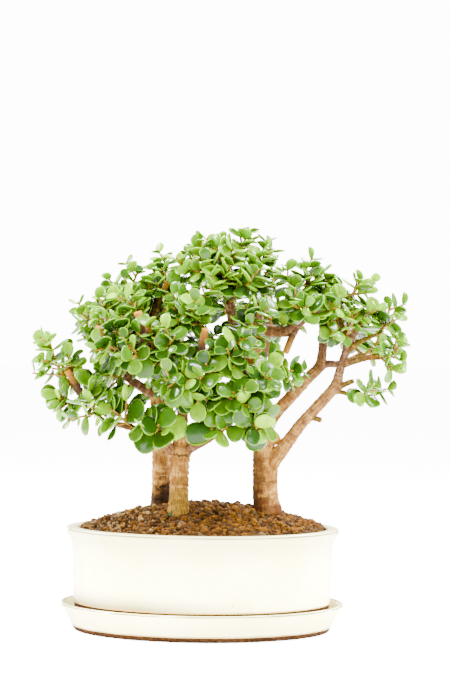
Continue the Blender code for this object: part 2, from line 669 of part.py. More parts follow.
def build_plants():
    """Wood is set out first, then twigs, then leaves; each tree's wood and each spray become one piece."""
    placed = Placed()
    for tree in TREES:
        for points, radii, sides in bare_wood(tree):
            for i in range(1, len(points)):
                placed.add("wood_" + tree, *tube(points[i - 1:i + 1], radii[i - 1:i + 1], sides))
    sprays = []
    for tree in TREES:
        taken = []
        for number, (x, y, z, size) in enumerate(SPRAYS[tree], 1):
            name = f"{tree}_spray_{number:02d}"
            foot, end = place_twig(placed, tree, name, Vector((x, y, z)), taken)
            sprays.append({"name": name, "tree": tree, "size": size, "foot": foot, "end": end})
    grow_leaves(sprays, placed)
    for tree in TREES:
        pieces = [tube(*part) for part in bare_wood(tree)]
        pieces += [tube(*spray["foot"], TWIG_SIDES) for spray in sprays if spray["tree"] == tree]
        smooth_shaded(joined(tree + "_trunk_and_limbs", pieces, "jade_bark"), 50)
    for spray in sprays:
        smooth_shaded(joined(spray["name"], spray["pieces"], "jade_leaf"), 40)


clear_scene()
build_tray()
build_pot()
for side, place in (("left", -DRAIN_X), ("right", DRAIN_X)):
    build_guard(f"drain_guard_{side}", place)
build_soil()
build_plants()
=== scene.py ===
"""Potted jade plant: a grove of three jade trees in a cream glazed oval bonsai pot, in its drip tray.

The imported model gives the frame. Sizes here are in millimetres, in the frame's own axes: +X along the
pot, -Y towards the camera and +Z up from the ground, and MM turns them to metres where a mesh is made.
"""

import math
import random

import bpy
import numpy as np
from mathutils import Matrix, Vector
from mathutils.bvhtree import BVHTree


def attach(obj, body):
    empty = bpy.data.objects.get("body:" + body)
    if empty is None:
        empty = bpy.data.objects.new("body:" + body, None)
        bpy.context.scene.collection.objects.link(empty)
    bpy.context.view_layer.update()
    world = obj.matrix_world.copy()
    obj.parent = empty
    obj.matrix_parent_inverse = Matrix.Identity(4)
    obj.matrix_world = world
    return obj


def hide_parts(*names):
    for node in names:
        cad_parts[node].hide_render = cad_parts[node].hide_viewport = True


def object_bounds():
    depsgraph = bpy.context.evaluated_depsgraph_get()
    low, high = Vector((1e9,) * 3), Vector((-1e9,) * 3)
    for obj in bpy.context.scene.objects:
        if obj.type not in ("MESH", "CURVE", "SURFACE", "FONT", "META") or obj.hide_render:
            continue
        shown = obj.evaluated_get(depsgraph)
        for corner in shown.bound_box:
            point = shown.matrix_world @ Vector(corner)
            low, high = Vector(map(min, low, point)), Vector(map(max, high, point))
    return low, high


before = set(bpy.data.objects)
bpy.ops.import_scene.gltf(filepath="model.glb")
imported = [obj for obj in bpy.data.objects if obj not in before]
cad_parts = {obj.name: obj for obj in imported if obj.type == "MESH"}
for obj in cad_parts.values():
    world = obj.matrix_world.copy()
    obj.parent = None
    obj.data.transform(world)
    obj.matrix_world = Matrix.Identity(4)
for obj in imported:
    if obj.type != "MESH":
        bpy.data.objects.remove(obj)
cad_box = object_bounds()


# Camera
# A long lens two metres from the plant, level with the crown's middle. The picture's long side is
# upright, and it is turned by less than a degree.

MM = 0.001
CAMERA_PLACE = (19.5, -2000.0, 296.0)
CAMERA_PITCH, CAMERA_ROLL = -0.007, 0.012  # radians
CAMERA_LENS = 110.3

view = bpy.data.cameras.new("studio_camera")
view.lens = CAMERA_LENS
view.sensor_width = 36.0
view.clip_end = 50.0
camera = bpy.data.objects.new("studio_camera", view)
bpy.context.scene.collection.objects.link(camera)
camera.matrix_world = (
    Matrix.Translation(Vector(CAMERA_PLACE) * MM)
    @ Matrix.Rotation(math.pi / 2 + CAMERA_PITCH, 4, "X")
    @ Matrix.Rotation(CAMERA_ROLL, 4, "Z")
)
bpy.context.scene.camera = camera


# Drip tray
# An oval stoneware saucer, cast in a mould and dipped in cream glaze. Its foot is wiped clean before
# the firing, so a narrow band of bare clay shows brown below the glaze.

TRAY_HALF = (137.0, 106.0)  # half length and half width over the rim
# Inset from the rim and height, from the underside outwards, up, over the rim and down to the floor
TRAY_PROFILE = [
    (14.0, 0.0), (13.0, 1.2), (11.7, 4.4), (11.1, 4.8), (7.5, 13.0), (2.2, 22.0), (0.0, 23.6),
    (0.0, 25.5), (1.0, 26.5), (3.6, 26.5), (4.6, 25.3), (7.2, 18.0), (12.1, 7.4), (15.6, 5.0),
    (24.0, 5.0),
]
ROUNDS = 3  # how often a profile's corners are cut
TURNS = 192  # points round the tray and the pot
TRAY_BARE = 4.6  # height of the bare clay band
TRAY_EDGES = [(0.1, 25.4), (3.8, 26.3)]  # where a dark line of painted shade runs along the rim
EDGE_SHADE_FADE = 0.5  # and how fast that painted shade fades off, in square millimetres
# The fourth colour is painted shade, drawn as a dark line along the rim's edges
GLAZE_LIGHT, GLAZE_DEEP, GLAZE_THIN, RIM_EDGE_SHADE = "#FBF4B4", "#F6E99C", "#A88048", "#2C2C14"
GLAZE_CLOUD, GLAZE_RIPPLE = 45.45, 7.143  # from one cloud or ripple to the next
FOOT_THIN, FOOT_THICK = -0.9, 1.6  # where the glaze ends and is full, from the bare clay's height
FOOT_WAVE, FOOT_WANDER = 22.22, 2.0  # length and height of that edge's waves
LOW_LEFT_SHADE = "#5C5224"  # painted shade low on the pot's left, just above the tray
LEFT_SHADE_FROM, LEFT_SHADE_FULL, LEFT_SHADE_HEIGHT = 90.0, -70.0, 20.0  # from the first x to the second, this high
IRON_SPOT, IRON_APART = "#54401F", 14.286
SPOT_CORE, SPOT_RIM = 0.035, 0.075  # a spot's size, as shares of the distance between spots
# Bare clay browns, darkened as painted shade at the feet and in the gap over the tray's rim
BARE_CLAY_IN_SHADE, BARE_CLAY_DEEP_SHADE, CLAY_GRIT = "#38220F", "#241509", 3.333


def rounded(profile, rounds):
    """The profile with its corners cut: each stretch is kept from its quarter to its three quarters,
    as many times over as there are rounds. The two end points stay."""
    points = np.array(profile, float)
    for _ in range(rounds):
        near = points[:-1] * 0.75 + points[1:] * 0.25
        far = points[:-1] * 0.25 + points[1:] * 0.75
        cut = np.stack([near, far], axis=1).reshape(-1, 2)
        points = np.vstack([points[:1], cut[1:-1], points[-1:]])
    return points


def oval_surface(half, profile):
    """Point (i, t): the profile's inset i is taken off both half axes of the oval, and the point stands
    at angle t on that smaller oval, at the profile's height."""
    turn = np.linspace(0.0, 2 * math.pi, TURNS, endpoint=False)
    x = (half[0] - profile[:, :1]) * np.cos(turn)
    y = (half[1] - profile[:, :1]) * np.sin(turn)
    z = np.repeat(profile[:, 1:], TURNS, axis=1)
    return np.stack([x, y, z], axis=2)


def edge_shade_share(profile, edges):
    """For each point of the grid, how near its place on the profile is to an edge, which is its share of
    the painted shade along the rim: the exponential of minus the square of the distance, so 1 on the edge."""
    near = sum(np.exp(-(((profile - edge) ** 2).sum(axis=1)) / EDGE_SHADE_FADE) for edge in edges)
    return np.repeat(np.minimum(near, 1.0)[:, None], TURNS, axis=1)


def closed_grid(rows, columns, start=0):
    """Faces of a grid that is closed round its columns, with one face over each of its two ends."""
    low = np.arange(rows * columns).reshape(rows, columns) + start
    high = np.roll(low, -1, axis=1)
    quads = np.stack([low[:-1], high[:-1], high[1:], low[1:]], axis=2).reshape(-1, 4)
    return quads.tolist() + [low[0, ::-1].tolist(), low[-1].tolist()]


def mesh_object(name, points, faces, finish, **marks):
    """A smooth shaded object from points in millimetres, with a named value at each point per mark."""
    mesh = bpy.data.meshes.new(name)
    mesh.from_pydata((points.reshape(-1, 3) * MM).tolist(), [], faces)
    mesh.shade_smooth()
    mesh.materials.append(finish)
    for mark, values in marks.items():
        values = np.asarray(values, np.float32)
        kind, field = ("FLOAT_VECTOR", "vector") if values.shape[-1:] == (3,) else ("FLOAT", "value")
        mesh.attributes.new(mark, kind, "POINT").data.foreach_set(field, values.ravel())
    made = bpy.data.objects.new(name, mesh)
    bpy.context.scene.collection.objects.link(made)
    return made


def colour(code):
    """A hex sRGB colour as linear red, green, blue and alpha."""
    channels = [int(code[i:i + 2], 16) / 255 for i in (1, 3, 5)]
    return [c / 12.92 if c <= 0.04045 else ((c + 0.055) / 1.055) ** 2.4 for c in channels] + [1.0]


def finish_tree(name, roughness, **constants):
    """A new Principled finish: its node tree and shader, with the constants set on the shader."""
    finish = bpy.data.materials.new(name)
    finish.use_nodes = True
    shader = finish.node_tree.nodes["Principled BSDF"]
    shader.inputs["Roughness"].default_value = roughness
    for socket, value in constants.items():
        shader.inputs[socket.replace("_", " ")].default_value = value
    return finish, finish.node_tree, shader


def add_node(tree, kind, settings=None, out=0, **inputs):
    """One output, by its name or place, of a new node of this kind. Each input, named by its socket or
    by its place as in0, takes a value, or is linked where it is given another node's output."""
    node = tree.nodes.new("ShaderNode" + kind)
    for setting, value in (settings or {}).items():
        setattr(node, setting, value)
    for name, value in inputs.items():
        place = int(name[2:]) if name[:2] == "in" and name[2:].isdigit() else name.replace("_", " ")
        if isinstance(value, bpy.types.NodeSocket):
            tree.links.new(value, node.inputs[place])
        else:
            node.inputs[place].default_value = value
    return node.outputs[out]


# An ease goes smoothly from 0 at From_Min to 1, or to To_Max, at From_Max. A blend is in6 where in0 is
# 0 and in7 where it is 1, and its colour is output 2
EASE = {"interpolation_type": "SMOOTHSTEP"}
BLEND = {"data_type": "RGBA", "clamp_factor": True}
TIMES, TIMES_PLUS = {"operation": "MULTIPLY"}, {"operation": "MULTIPLY_ADD"}


def coated(tree, body, *coats):
    """The body's colour with each coat over it in turn, as far as its share says. A coat is a hex
    colour, or another body."""
    for share, coat in coats:
        coat = colour(coat) if isinstance(coat, str) else coat
        body = add_node(tree, "Mix", BLEND, 2, in0=share, in6=body, in7=coat)
    return body


def scale_for(size):
    """The scale, on Object coordinates, of a pattern that repeats about every so many millimetres."""
    return 1.0 / (size * MM)


def clay_finish():
    """Bare fired stoneware, dull and gritty, its brown darkened with painted shade, in gritty patches."""
    finish, tree, shader = finish_tree("shaded_bare_stoneware", 0.95, Specular_IOR_Level=0.03)
    place = add_node(tree, "TexCoord", out="Object")
    grit = add_node(tree, "TexNoise", Vector=place, Scale=scale_for(CLAY_GRIT), Detail=3.0)
    grit_patch = add_node(tree, "MapRange", EASE, Value=grit, From_Min=0.35, From_Max=0.65)
    clay = coated(tree, colour(BARE_CLAY_IN_SHADE), (grit_patch, BARE_CLAY_DEEP_SHADE))
    tree.links.new(clay, shader.inputs["Base Color"])
    bump = add_node(tree, "Bump", Strength=0.4, Distance=0.2 * MM, Height=grit)
    tree.links.new(bump, shader.inputs["Normal"])
    return finish


def leave_foot_bare(piece, bare_top):
    """Gives the faces below the glaze's edge the clay's finish."""
    piece.data.materials.append(shaded_bare_clay)
    centres = np.zeros(len(piece.data.polygons) * 3)
    piece.data.polygons.foreach_get("center", centres)
    piece.data.polygons.foreach_set("material_index", (centres[2::3] < bare_top * MM).astype(np.int32))


def glaze_finish(name, bare_top, left_shade_share):
    """Glossy cream glaze, cloudy, with a dark line of painted shade along the rim's edges, brownish where
    it ends above the bare foot, olive painted shade low on the pot's left, with a few iron spots."""
    finish, tree, shader = finish_tree(name, 0.2, Coat_Weight=0.35, Coat_Roughness=0.08)
    place = add_node(tree, "TexCoord", out="Object")
    along = add_node(tree, "SeparateXYZ", Vector=place)
    height = along.node.outputs["Z"]
    cloud = add_node(tree, "TexNoise", Vector=place, Scale=scale_for(GLAZE_CLOUD), Detail=3.0)
    deep = add_node(tree, "MapRange", EASE, Value=cloud, From_Min=0.35, From_Max=0.7)
    # Each cell of the pattern holds a spot or not, by the red of the cell's own colour
    away = add_node(tree, "TexVoronoi", Vector=place, Scale=scale_for(IRON_APART))
    spot = add_node(tree, "MapRange", EASE, Value=away, From_Min=SPOT_RIM, From_Max=SPOT_CORE)
    red = add_node(tree, "SeparateColor", Color=away.node.outputs["Color"])
    held = add_node(tree, "MapRange", EASE, Value=red, From_Min=0.52, From_Max=0.48)
    spot = add_node(tree, "Math", TIMES, in0=spot, in1=held)
    # Painted shade: a dark line along the rim's edges, broken up by the cloud
    edge = add_node(tree, "Attribute", {"attribute_name": "glaze_thin"}, "Fac")
    broken = add_node(tree, "MapRange", EASE, Value=cloud, From_Min=0.1, From_Max=0.5)
    edge = add_node(tree, "Math", TIMES, in0=edge, in1=broken)
    # Painted shade low on the left, where the pot stands in the tray: full from the first x to the second,
    # fading out upwards
    left = add_node(tree, "MapRange", EASE, Value=along, From_Min=LEFT_SHADE_FROM * MM,
                    From_Max=LEFT_SHADE_FULL * MM, To_Max=left_shade_share)
    low = add_node(tree, "MapRange", EASE, Value=height, From_Min=(bare_top + LEFT_SHADE_HEIGHT) * MM,
                   From_Max=bare_top * MM)
    run = add_node(tree, "Math", TIMES, in0=left, in1=low)
    wander = add_node(tree, "TexNoise", Vector=place, Scale=scale_for(FOOT_WAVE), Detail=2.0)
    foot = add_node(tree, "Math", TIMES_PLUS, in0=wander, in1=-FOOT_WANDER * MM, in2=height)
    thin = add_node(tree, "MapRange", EASE, Value=foot, From_Min=(bare_top + FOOT_THICK) * MM,
                    From_Max=(bare_top + FOOT_THIN) * MM)
    body = coated(tree, colour(GLAZE_LIGHT), (deep, GLAZE_DEEP), (spot, IRON_SPOT),
                  (edge, RIM_EDGE_SHADE), (run, LOW_LEFT_SHADE), (thin, GLAZE_THIN))
    tree.links.new(body, shader.inputs["Base Color"])
    ripple = add_node(tree, "TexNoise", Vector=place, Scale=scale_for(GLAZE_RIPPLE), Detail=2.0)
    bump = add_node(tree, "Bump", Strength=0.25, Distance=0.25 * MM, Height=ripple)
    tree.links.new(bump, shader.inputs["Normal"])
    return finish


shaded_bare_clay = clay_finish()
profile = rounded(TRAY_PROFILE, ROUNDS)
surface = oval_surface(TRAY_HALF, profile)
tray = mesh_object("glazed_drip_tray", surface, closed_grid(*surface.shape[:2]),
                   glaze_finish("cream_tray_glaze", TRAY_BARE, left_shade_share=0.0),
                   glaze_thin=edge_shade_share(profile, TRAY_EDGES))
leave_foot_bare(tray, TRAY_BARE)
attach(tray, "root")
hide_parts("drip_tray")


# Pot
# An oval bonsai pot of the same ware, with a rolled lip and a flat foot ring cut into four feet, which
# stand bare on the tray's glaze. Its floor is closed here, under the soil; the model's own has holes.

POT_HALF = (132.0, 100.0)
# As the tray's: from the floor's underside over the foot ring, up, over the lip and down to the floor
POT_PROFILE = [
    (40.0, 11.35), (26.0, 11.35), (25.0, 5.35), (17.0, 5.35), (15.5, 10.85), (11.5, 13.35),
    (9.0, 20.35), (8.5, 26.2), (8.2, 26.6), (7.5, 38.0), (6.6, 56.0), (6.2, 86.0), (2.0, 90.5),
    (0.0, 93.0), (0.0, 97.2), (1.8, 99.0), (10.2, 99.0), (11.9, 97.2), (16.45, 21.35),
    (21.0, 18.35), (30.0, 18.35),
]
FOOT_GAP = (96.0, 72.0)  # width of the gaps between the feet, along X and along Y
FOOT_GAP_TOP = 10.15
GAP_SLOPE = 5.0  # the feet's ends lean over this length
POT_EDGES = [(0.1, 97.2), (11.4, 98.3)]
POT_BARE = 26.4  # the glaze stops just over the tray's rim
POT_LEFT_SHADE = 0.9  # how strong the painted shade low on the left is


def lifted_between_feet(surface):
    """The foot's points go up to the gaps' top where x or y is small enough, smoothly at the ends of
    the feet."""
    share = [
        np.clip((gap / 2 + GAP_SLOPE / 2 - np.abs(surface[..., axis])) / GAP_SLOPE, 0.0, 1.0)
        for axis, gap in enumerate(FOOT_GAP)
    ]
    share = np.maximum(*share)
    share = share * share * (3 - 2 * share)
    lift = np.maximum(FOOT_GAP_TOP - surface[..., 2], 0.0) * share
    return surface + np.stack([np.zeros_like(lift), np.zeros_like(lift), lift], axis=-1)


profile = rounded(POT_PROFILE, ROUNDS)
surface = lifted_between_feet(oval_surface(POT_HALF, profile))
pot = mesh_object("glazed_pot", surface, closed_grid(*surface.shape[:2]),
                  glaze_finish("cream_pot_glaze", POT_BARE, left_shade_share=POT_LEFT_SHADE),
                  glaze_thin=edge_shade_share(profile, POT_EDGES))
leave_foot_bare(pot, POT_BARE)
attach(pot, "root")
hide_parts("pot")


# Drain guards
# Moulded plastic mesh plates over the drainage holes. The model's own solids stay.

GUARD_BLACK, GUARD_GRAIN = "#1B1B1A", 0.6667  # the mould's grain is drawn as coarse as it can show

guard_finish, tree, shader = finish_tree("black_guard_plastic", 0.55, Base_Color=colour(GUARD_BLACK))
place = add_node(tree, "TexCoord", out="Object")
grain = add_node(tree, "TexNoise", Vector=place, Scale=scale_for(GUARD_GRAIN))
bump = add_node(tree, "Bump", Strength=0.3, Distance=0.1 * MM, Height=grain)
tree.links.new(bump, shader.inputs["Normal"])
for side in ("left", "right"):
    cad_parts["drain_guard_" + side].data.materials[0] = guard_finish


# Soil
# A mound of baked clay granules, heaped higher behind the middle. The model's solid is the mass of
# the heap, and the loose granules lie on it, orange brown to the right and greyer to the left.

SOIL_HALF = (119.4, 87.4)
SOIL_EDGE, SOIL_RISE, SOIL_RIDGE_Y = 96.5, 23.0, 15.0
TRUNK_FEET = [(-23, -30, 9.6), (-42, 34, 9.8), (63, 2, 14.0)]  # x, y and radius
# Count, smallest and largest radius, lowest and highest place, and the share kept at the left end
GRANULE_LAYERS = [(3300, 1.0, 1.9, -1.1, 0.9, 1.0), (1650, 2.0, 4.2, -1.7, 0.8, 0.1)]
GRANULE_SEED = 11
LARGE_ARE_RARE = 1.5  # power of the draw of sizes
TURN_OFF, PLACE_OFF = 0.02, 0.6  # how far a granule lies off the spiral, in radians and millimetres
EDGE_ROOM, WALL_ROOM, TRUNK_ROOM = 0.6, 0.5, 0.2  # kept free at the edges, as shares of its radius
SPARSE_X, FULL_X = -90, -10  # the left end's share rises to all of the layer between these
LUMPS, STRETCH = 0.24, (0.72, 1.25)
GAP_SHADE_FROM, GAP_SHADE_OVER = 2.2, 3.2  # points this far above the mound get no painted shade, and full painted shade this much lower
# The first colour is near black painted shade, for the gaps and the granules' pits
GRANULE_SHADE, GRANULE_PITS = "#160B02", 1.6667
GRANULE_APART = 6.25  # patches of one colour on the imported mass
PACKED_SHADE = 0.85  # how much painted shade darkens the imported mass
# In a row: four browns, a grey, one near black and the green of the mossy stone
GRANULE_COLOURS = ("#6E430A", "#573506", "#3A2305", "#7E5208", "#92744A", "#2A1A06", "#46502C")
BROWNS_END, GREYS, DARKS = 0.6, (0.6, 0.85), (0.9, 1.0)  # shares of the row without its green
GREY_FROM, GREY_TO, MOST_GREY, DARK_SHARE = -10, -100, 0.6, 0.08  # greyer from the first x leftwards
GREEN_STONE = (-30, -40, 112.5, 3.4)  # x, y, z and radius, at the front trunk's foot


def soil_height(x, y):
    """The mound is a dome over the oval: a rise that falls off with the square of the distance from
    the ridge line, as a share of the distance to the pot's wall."""
    run = np.where(y < SOIL_RIDGE_Y, SOIL_HALF[1] + SOIL_RIDGE_Y, SOIL_HALF[1] - SOIL_RIDGE_Y)
    share = (x / SOIL_HALF[0]) ** 2 + ((y - SOIL_RIDGE_Y) / run) ** 2
    return SOIL_EDGE + SOIL_RISE * np.maximum(0.0, 1.0 - share)


def pebble_shape():
    """A ball of 18 points and 32 faces: an octahedron with each edge's middle pushed out to the ball."""
    corners = np.array([(1, 0, 0), (-1, 0, 0), (0, 1, 0), (0, -1, 0), (0, 0, 1), (0, 0, -1)], float)
    sides = [(a, b, c) for c in (4, 5) for a, b in ((0, 2), (2, 1), (1, 3), (3, 0))]
    edges = sorted({tuple(sorted(pair)) for a, b, c in sides for pair in ((a, b), (b, c), (c, a))})
    middles = {edge: 6 + i for i, edge in enumerate(edges)}
    points = np.vstack([corners, [(corners[a] + corners[b]) / math.sqrt(2) for a, b in edges]])
    faces = []
    for a, b, c in sides:
        a, b = (a, b) if c == 4 else (b, a)
        ab, bc, ca = (middles[tuple(sorted(pair))] for pair in ((a, b), (b, c), (c, a)))
        faces += [(a, ab, ca), (ab, b, bc), (ca, bc, c), (ab, bc, ca)]
    return points, np.array(faces)


def turned_at_random(draw, count):
    """Rotation matrices from random unit quaternions."""
    w, x, y, z = draw.normal(size=(count, 4)).T
    size = np.sqrt(w * w + x * x + y * y + z * z)
    w, x, y, z = w / size, x / size, y / size, z / size
    rows = [1 - 2 * (y * y + z * z), 2 * (x * y - w * z), 2 * (x * z + w * y),
            2 * (x * y + w * z), 1 - 2 * (x * x + z * z), 2 * (y * z - w * x),
            2 * (x * z - w * y), 2 * (y * z + w * x), 1 - 2 * (x * x + y * y)]
    return np.stack(rows, axis=1).reshape(count, 3, 3)


def layer_of_granules(draw, count, smallest, largest, low, high, on_left):
    """Places and sizes of one layer: a sunflower spiral over the oval, each granule a little off it, at
    the mound's height and a little up or down. on_left is the share that lies at the left end."""
    index = np.arange(count)
    out = np.sqrt((index + 0.5) / count)
    turn = index * math.pi * (3 - math.sqrt(5)) + draw.uniform(-TURN_OFF, TURN_OFF, count)
    size = smallest + (largest - smallest) * draw.random(count) ** LARGE_ARE_RARE
    x = (SOIL_HALF[0] - EDGE_ROOM * size) * out * np.cos(turn) + draw.normal(0, PLACE_OFF, count)
    y = (SOIL_HALF[1] - EDGE_ROOM * size) * out * np.sin(turn) + draw.normal(0, PLACE_OFF, count)
    room = size * WALL_ROOM
    inside = (x / (SOIL_HALF[0] - room)) ** 2 + (y / (SOIL_HALF[1] - room)) ** 2 < 1.0
    filled = np.clip((x - SPARSE_X) / (FULL_X - SPARSE_X), 0, 1)
    inside &= draw.random(count) < on_left + (1 - on_left) * filled
    for foot_x, foot_y, radius in TRUNK_FEET:
        inside &= np.hypot(x - foot_x, y - foot_y) > radius + size * TRUNK_ROOM
    z = soil_height(x, y) + draw.uniform(low, high, count)
    return np.column_stack([x, y, z, size])[inside]


def heap_of_granules():
    """Lumpy balls with their own stretch and turn, a fine layer and a coarse one, and the green stone
    last. Each point is marked with its granule's colour and with how deep it lies, for the painted shade."""
    draw = np.random.default_rng(GRANULE_SEED)
    layers = [layer_of_granules(draw, *layer) for layer in GRANULE_LAYERS]
    x, y, z, size = np.vstack(layers + [GREEN_STONE]).T
    count = len(x)
    ball, faces = pebble_shape()
    lumps = 1.0 + draw.uniform(-LUMPS, LUMPS, (count, len(ball), 1))
    stretch = draw.uniform(*STRETCH, (count, 1, 3)) * size[:, None, None]
    points = np.einsum("nij,npj->npi", turned_at_random(draw, count), ball * lumps * stretch)
    points += np.stack([x, y, z], axis=1)[:, None, :]
    faces = (faces[None] + (np.arange(count) * len(ball))[:, None, None]).reshape(-1, 3)
    grey = np.clip((GREY_FROM - x) / (GREY_FROM - GREY_TO), 0, 1) * MOST_GREY
    is_grey = draw.random(count) < grey
    kind = np.where(is_grey, draw.uniform(*GREYS, count), draw.random(count) * BROWNS_END)
    kind = np.where(draw.random(count) < DARK_SHARE, draw.uniform(*DARKS, count), kind)
    kind *= (len(GRANULE_COLOURS) - 2) / (len(GRANULE_COLOURS) - 1)
    kind[-1] = 1.0
    deep = np.clip((GAP_SHADE_FROM + soil_height(x, y)[:, None] - points[..., 2]) / GAP_SHADE_OVER, 0, 1)
    return points, faces.tolist(), np.repeat(kind, len(ball)), deep


def granule_finish(name, mark):
    """Dry baked clay, matt and pitted, each granule in its own brown, with painted shade in the pits and
    down in the gaps. The packed mass has no marks, so there a noise picks the colours and painted shade
    darkens it all over."""
    finish, tree, shader = finish_tree(name, 0.95, Specular_IOR_Level=0.1)
    place = add_node(tree, "TexCoord", out="Object")
    if mark:
        kind = add_node(tree, "Attribute", {"attribute_name": mark}, "Fac")
        deep = add_node(tree, "Attribute", {"attribute_name": "granule_deep"}, "Fac")
    else:
        kind = add_node(tree, "TexNoise", Vector=place, Scale=scale_for(GRANULE_APART))
        deep = PACKED_SHADE
    row = add_node(tree, "ValToRGB", Fac=kind)
    bands = row.node.color_ramp.elements
    while len(bands) < len(GRANULE_COLOURS):
        bands.new(1.0)
    for i, code in enumerate(GRANULE_COLOURS):
        bands[i].position = i / (len(GRANULE_COLOURS) - 1)
        bands[i].color = colour(code)
    # Painted shade: near black in the bump's pits and down in the gaps
    pitting = add_node(tree, "TexNoise", Vector=place, Scale=scale_for(GRANULE_PITS), Detail=3.0)
    pit_shade = add_node(tree, "MapRange", EASE, Value=pitting, From_Min=0.5, From_Max=0.3)
    body = coated(tree, row, (pit_shade, GRANULE_SHADE), (deep, GRANULE_SHADE))
    tree.links.new(body, shader.inputs["Base Color"])
    bump = add_node(tree, "Bump", Strength=0.6, Distance=0.4 * MM, Height=pitting)
    tree.links.new(bump, shader.inputs["Normal"])
    return finish


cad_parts["soil"].data.materials[0] = granule_finish("packed_clay_granules", None)
points, faces, kind, deep = heap_of_granules()
granules = mesh_object("loose_clay_granules", points, faces,
                       granule_finish("baked_clay_granules", "granule_kind"),
                       granule_kind=kind, granule_deep=deep)
granules.data.shade_flat()
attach(granules, "root")


# Wood
# Three jade trees, each one plant: a trunk that stands in the soil, limbs, and twigs that bend clear
# of each other on their way to the sprays. Bark is tan on the trunks and pinkish on the limbs, with
# the rings of old leaf scars. A route point is x, y, z and radius.

TREES = ("front", "back", "right")
TRUNKS = {
    "front": [(-23, -30, 112, 9.6), (-23, -29, 124, 8.6), (-23, -28, 140, 8.2), (-23, -28, 158, 8.9),
              (-23, -28, 168, 9.5), (-22, -28, 177, 7.0)],
    "back": [(-42, 34, 112, 9.8), (-42, 34, 126, 8.8), (-42, 34, 145, 8.2), (-42, 32, 168, 8.0),
             (-43, 30, 190, 7.4), (-46, 28, 213, 5.8), (-50, 28, 236, 4.9), (-57, 25, 266, 4.0),
             (-56, 21, 296, 2.8)],
    "right": [(63, 2, 112, 14.0), (62, 2, 118, 12.6), (60, 2, 135, 11.4), (60, 2, 157, 11.2),
              (58, 2, 178, 9.8), (54, 3, 204, 8.8), (50, 5, 246, 8.2), (49, 6, 270, 8.2),
              (48, 7, 288, 6.6)],
}
LIMBS = {
    "front": [
        [(-22, -28, 168, 7.6), (-22, -28, 179, 7.0), (-21, -31, 196, 5.8), (-20, -30, 217, 5.1),
         (-23, -25, 236, 4.5), (-31, -22, 258, 3.9), (-37, -20, 279, 3.1)],
        [(-25, -28, 168, 5.6), (-33, -33, 177, 5.0), (-42, -39, 184, 4.4), (-55, -45, 191, 3.8),
         (-71, -49, 197, 3.0), (-93, -53, 202, 2.6)],
        [(-21, -28, 168, 5.8), (-13, -31, 176, 4.8), (-4, -37, 181, 4.2), (6, -43, 187, 3.8),
         (18, -49, 198, 3.4), (33, -55, 210, 2.9)],
        [(-20, -30, 214, 4.2), (-9, -44, 227, 3.7), (2, -60, 242, 2.9)],
        [(-27, -24, 246, 3.6), (-41, -38, 258, 3.2), (-54, -52, 270, 2.8)],
    ],
    "back": [
        [(-44, 30, 188, 5.2), (-53, 24, 199, 4.4), (-65, 17, 208, 4.0), (-81, 12, 213, 3.4),
         (-99, 10, 213, 3.0), (-112, 8, 215, 2.8), (-120, 6, 224, 2.5), (-126, 4, 232, 2.3)],
        [(-49, 28, 226, 4.8), (-61, 27, 232, 4.6), (-74, 26, 241, 4.4), (-86, 24, 257, 4.0),
         (-91, 22, 284, 3.2)],
        [(-44, 31, 204, 4.8), (-36, 34, 212, 4.4), (-27, 36, 223, 4.2), (-15, 40, 239, 3.8),
         (-5, 44, 259, 3.2), (-1, 46, 279, 2.6)],
        [(-45, 31, 216, 4.4), (-38, 52, 235, 3.8), (-29, 72, 258, 3.0)],
        [(-54, 26, 252, 3.8), (-66, 40, 263, 3.3), (-80, 54, 276, 2.8)],
    ],
    "right": [
        [(48, 7, 282, 6.6), (51, 10, 307, 5.2), (49, 12, 327, 4.3), (43, 12, 347, 3.2)],
        [(59, 1, 152, 8.0), (67, -2, 163, 7.2), (84, -8, 186, 6.0), (95, -12, 201, 5.6),
         (119, -16, 228, 5.4), (127, -16, 239, 5.2), (130, -16, 252, 4.2), (139, -16, 279, 3.6),
         (151, -16, 301, 2.6)],
        [(136, -16, 270, 2.8), (135, -14, 285, 2.3), (130, -10, 300, 2.0)],
        [(138, -16, 271, 2.8), (146, -19, 278, 2.4), (158, -22, 284, 2.0)],
        [(131, -16, 257, 3.2), (141, -20, 260, 2.9), (154, -24, 264, 2.7), (166, -28, 267, 2.3)],
        [(125, -16, 233, 3.4), (133, -19, 238, 2.8), (142, -23, 242, 2.4)],
        [(122, -15, 231, 2.8), (132, -13, 231, 2.2), (141, -12, 228, 1.9), (151, -10, 226, 1.7)],
        [(97, -12, 204, 4.6), (104, -14, 206, 2.9), (112, -16, 204, 2.6)],
        [(56, 4, 186, 7.6), (67, 10, 206, 6.3), (90, 17, 231, 5.7), (102, 20, 244, 5.5),
         (112, 22, 254, 5.2), (115, 22, 270, 4.2), (115, 22, 288, 3.9), (114, 22, 304, 3.0)],
        [(110, 22, 252, 4.0), (119, 24, 257, 3.6), (129, 28, 257, 3.2), (140, 34, 260, 2.9),
         (154, 42, 267, 2.4)],
        [(49, 6, 284, 6.2), (41, 5, 289, 5.4), (33, 4, 293, 5.0), (26, 2, 302, 4.6), (20, -2, 333, 3.6),
         (12, -4, 345, 2.9)],
        [(51, 6, 284, 6.2), (60, 4, 289, 5.6), (78, -2, 288, 4.9), (87, -4, 293, 4.4), (98, -6, 302, 3.7),
         (126, -10, 317, 2.4)],
        [(82, -3, 289, 4.5), (90, -3, 299, 4.2), (99, -2, 312, 3.4)],
        [(52, 2, 228, 5.0), (47, -14, 238, 4.6), (40, -34, 250, 3.8), (31, -50, 261, 3.0)],
        [(50, 8, 240, 6.0), (54, 24, 252, 5.0), (59, 44, 271, 4.2), (63, 62, 295, 3.0)],
        [(48, 10, 270, 5.0), (40, 26, 286, 4.2), (28, 44, 304, 3.2)],
    ],
}
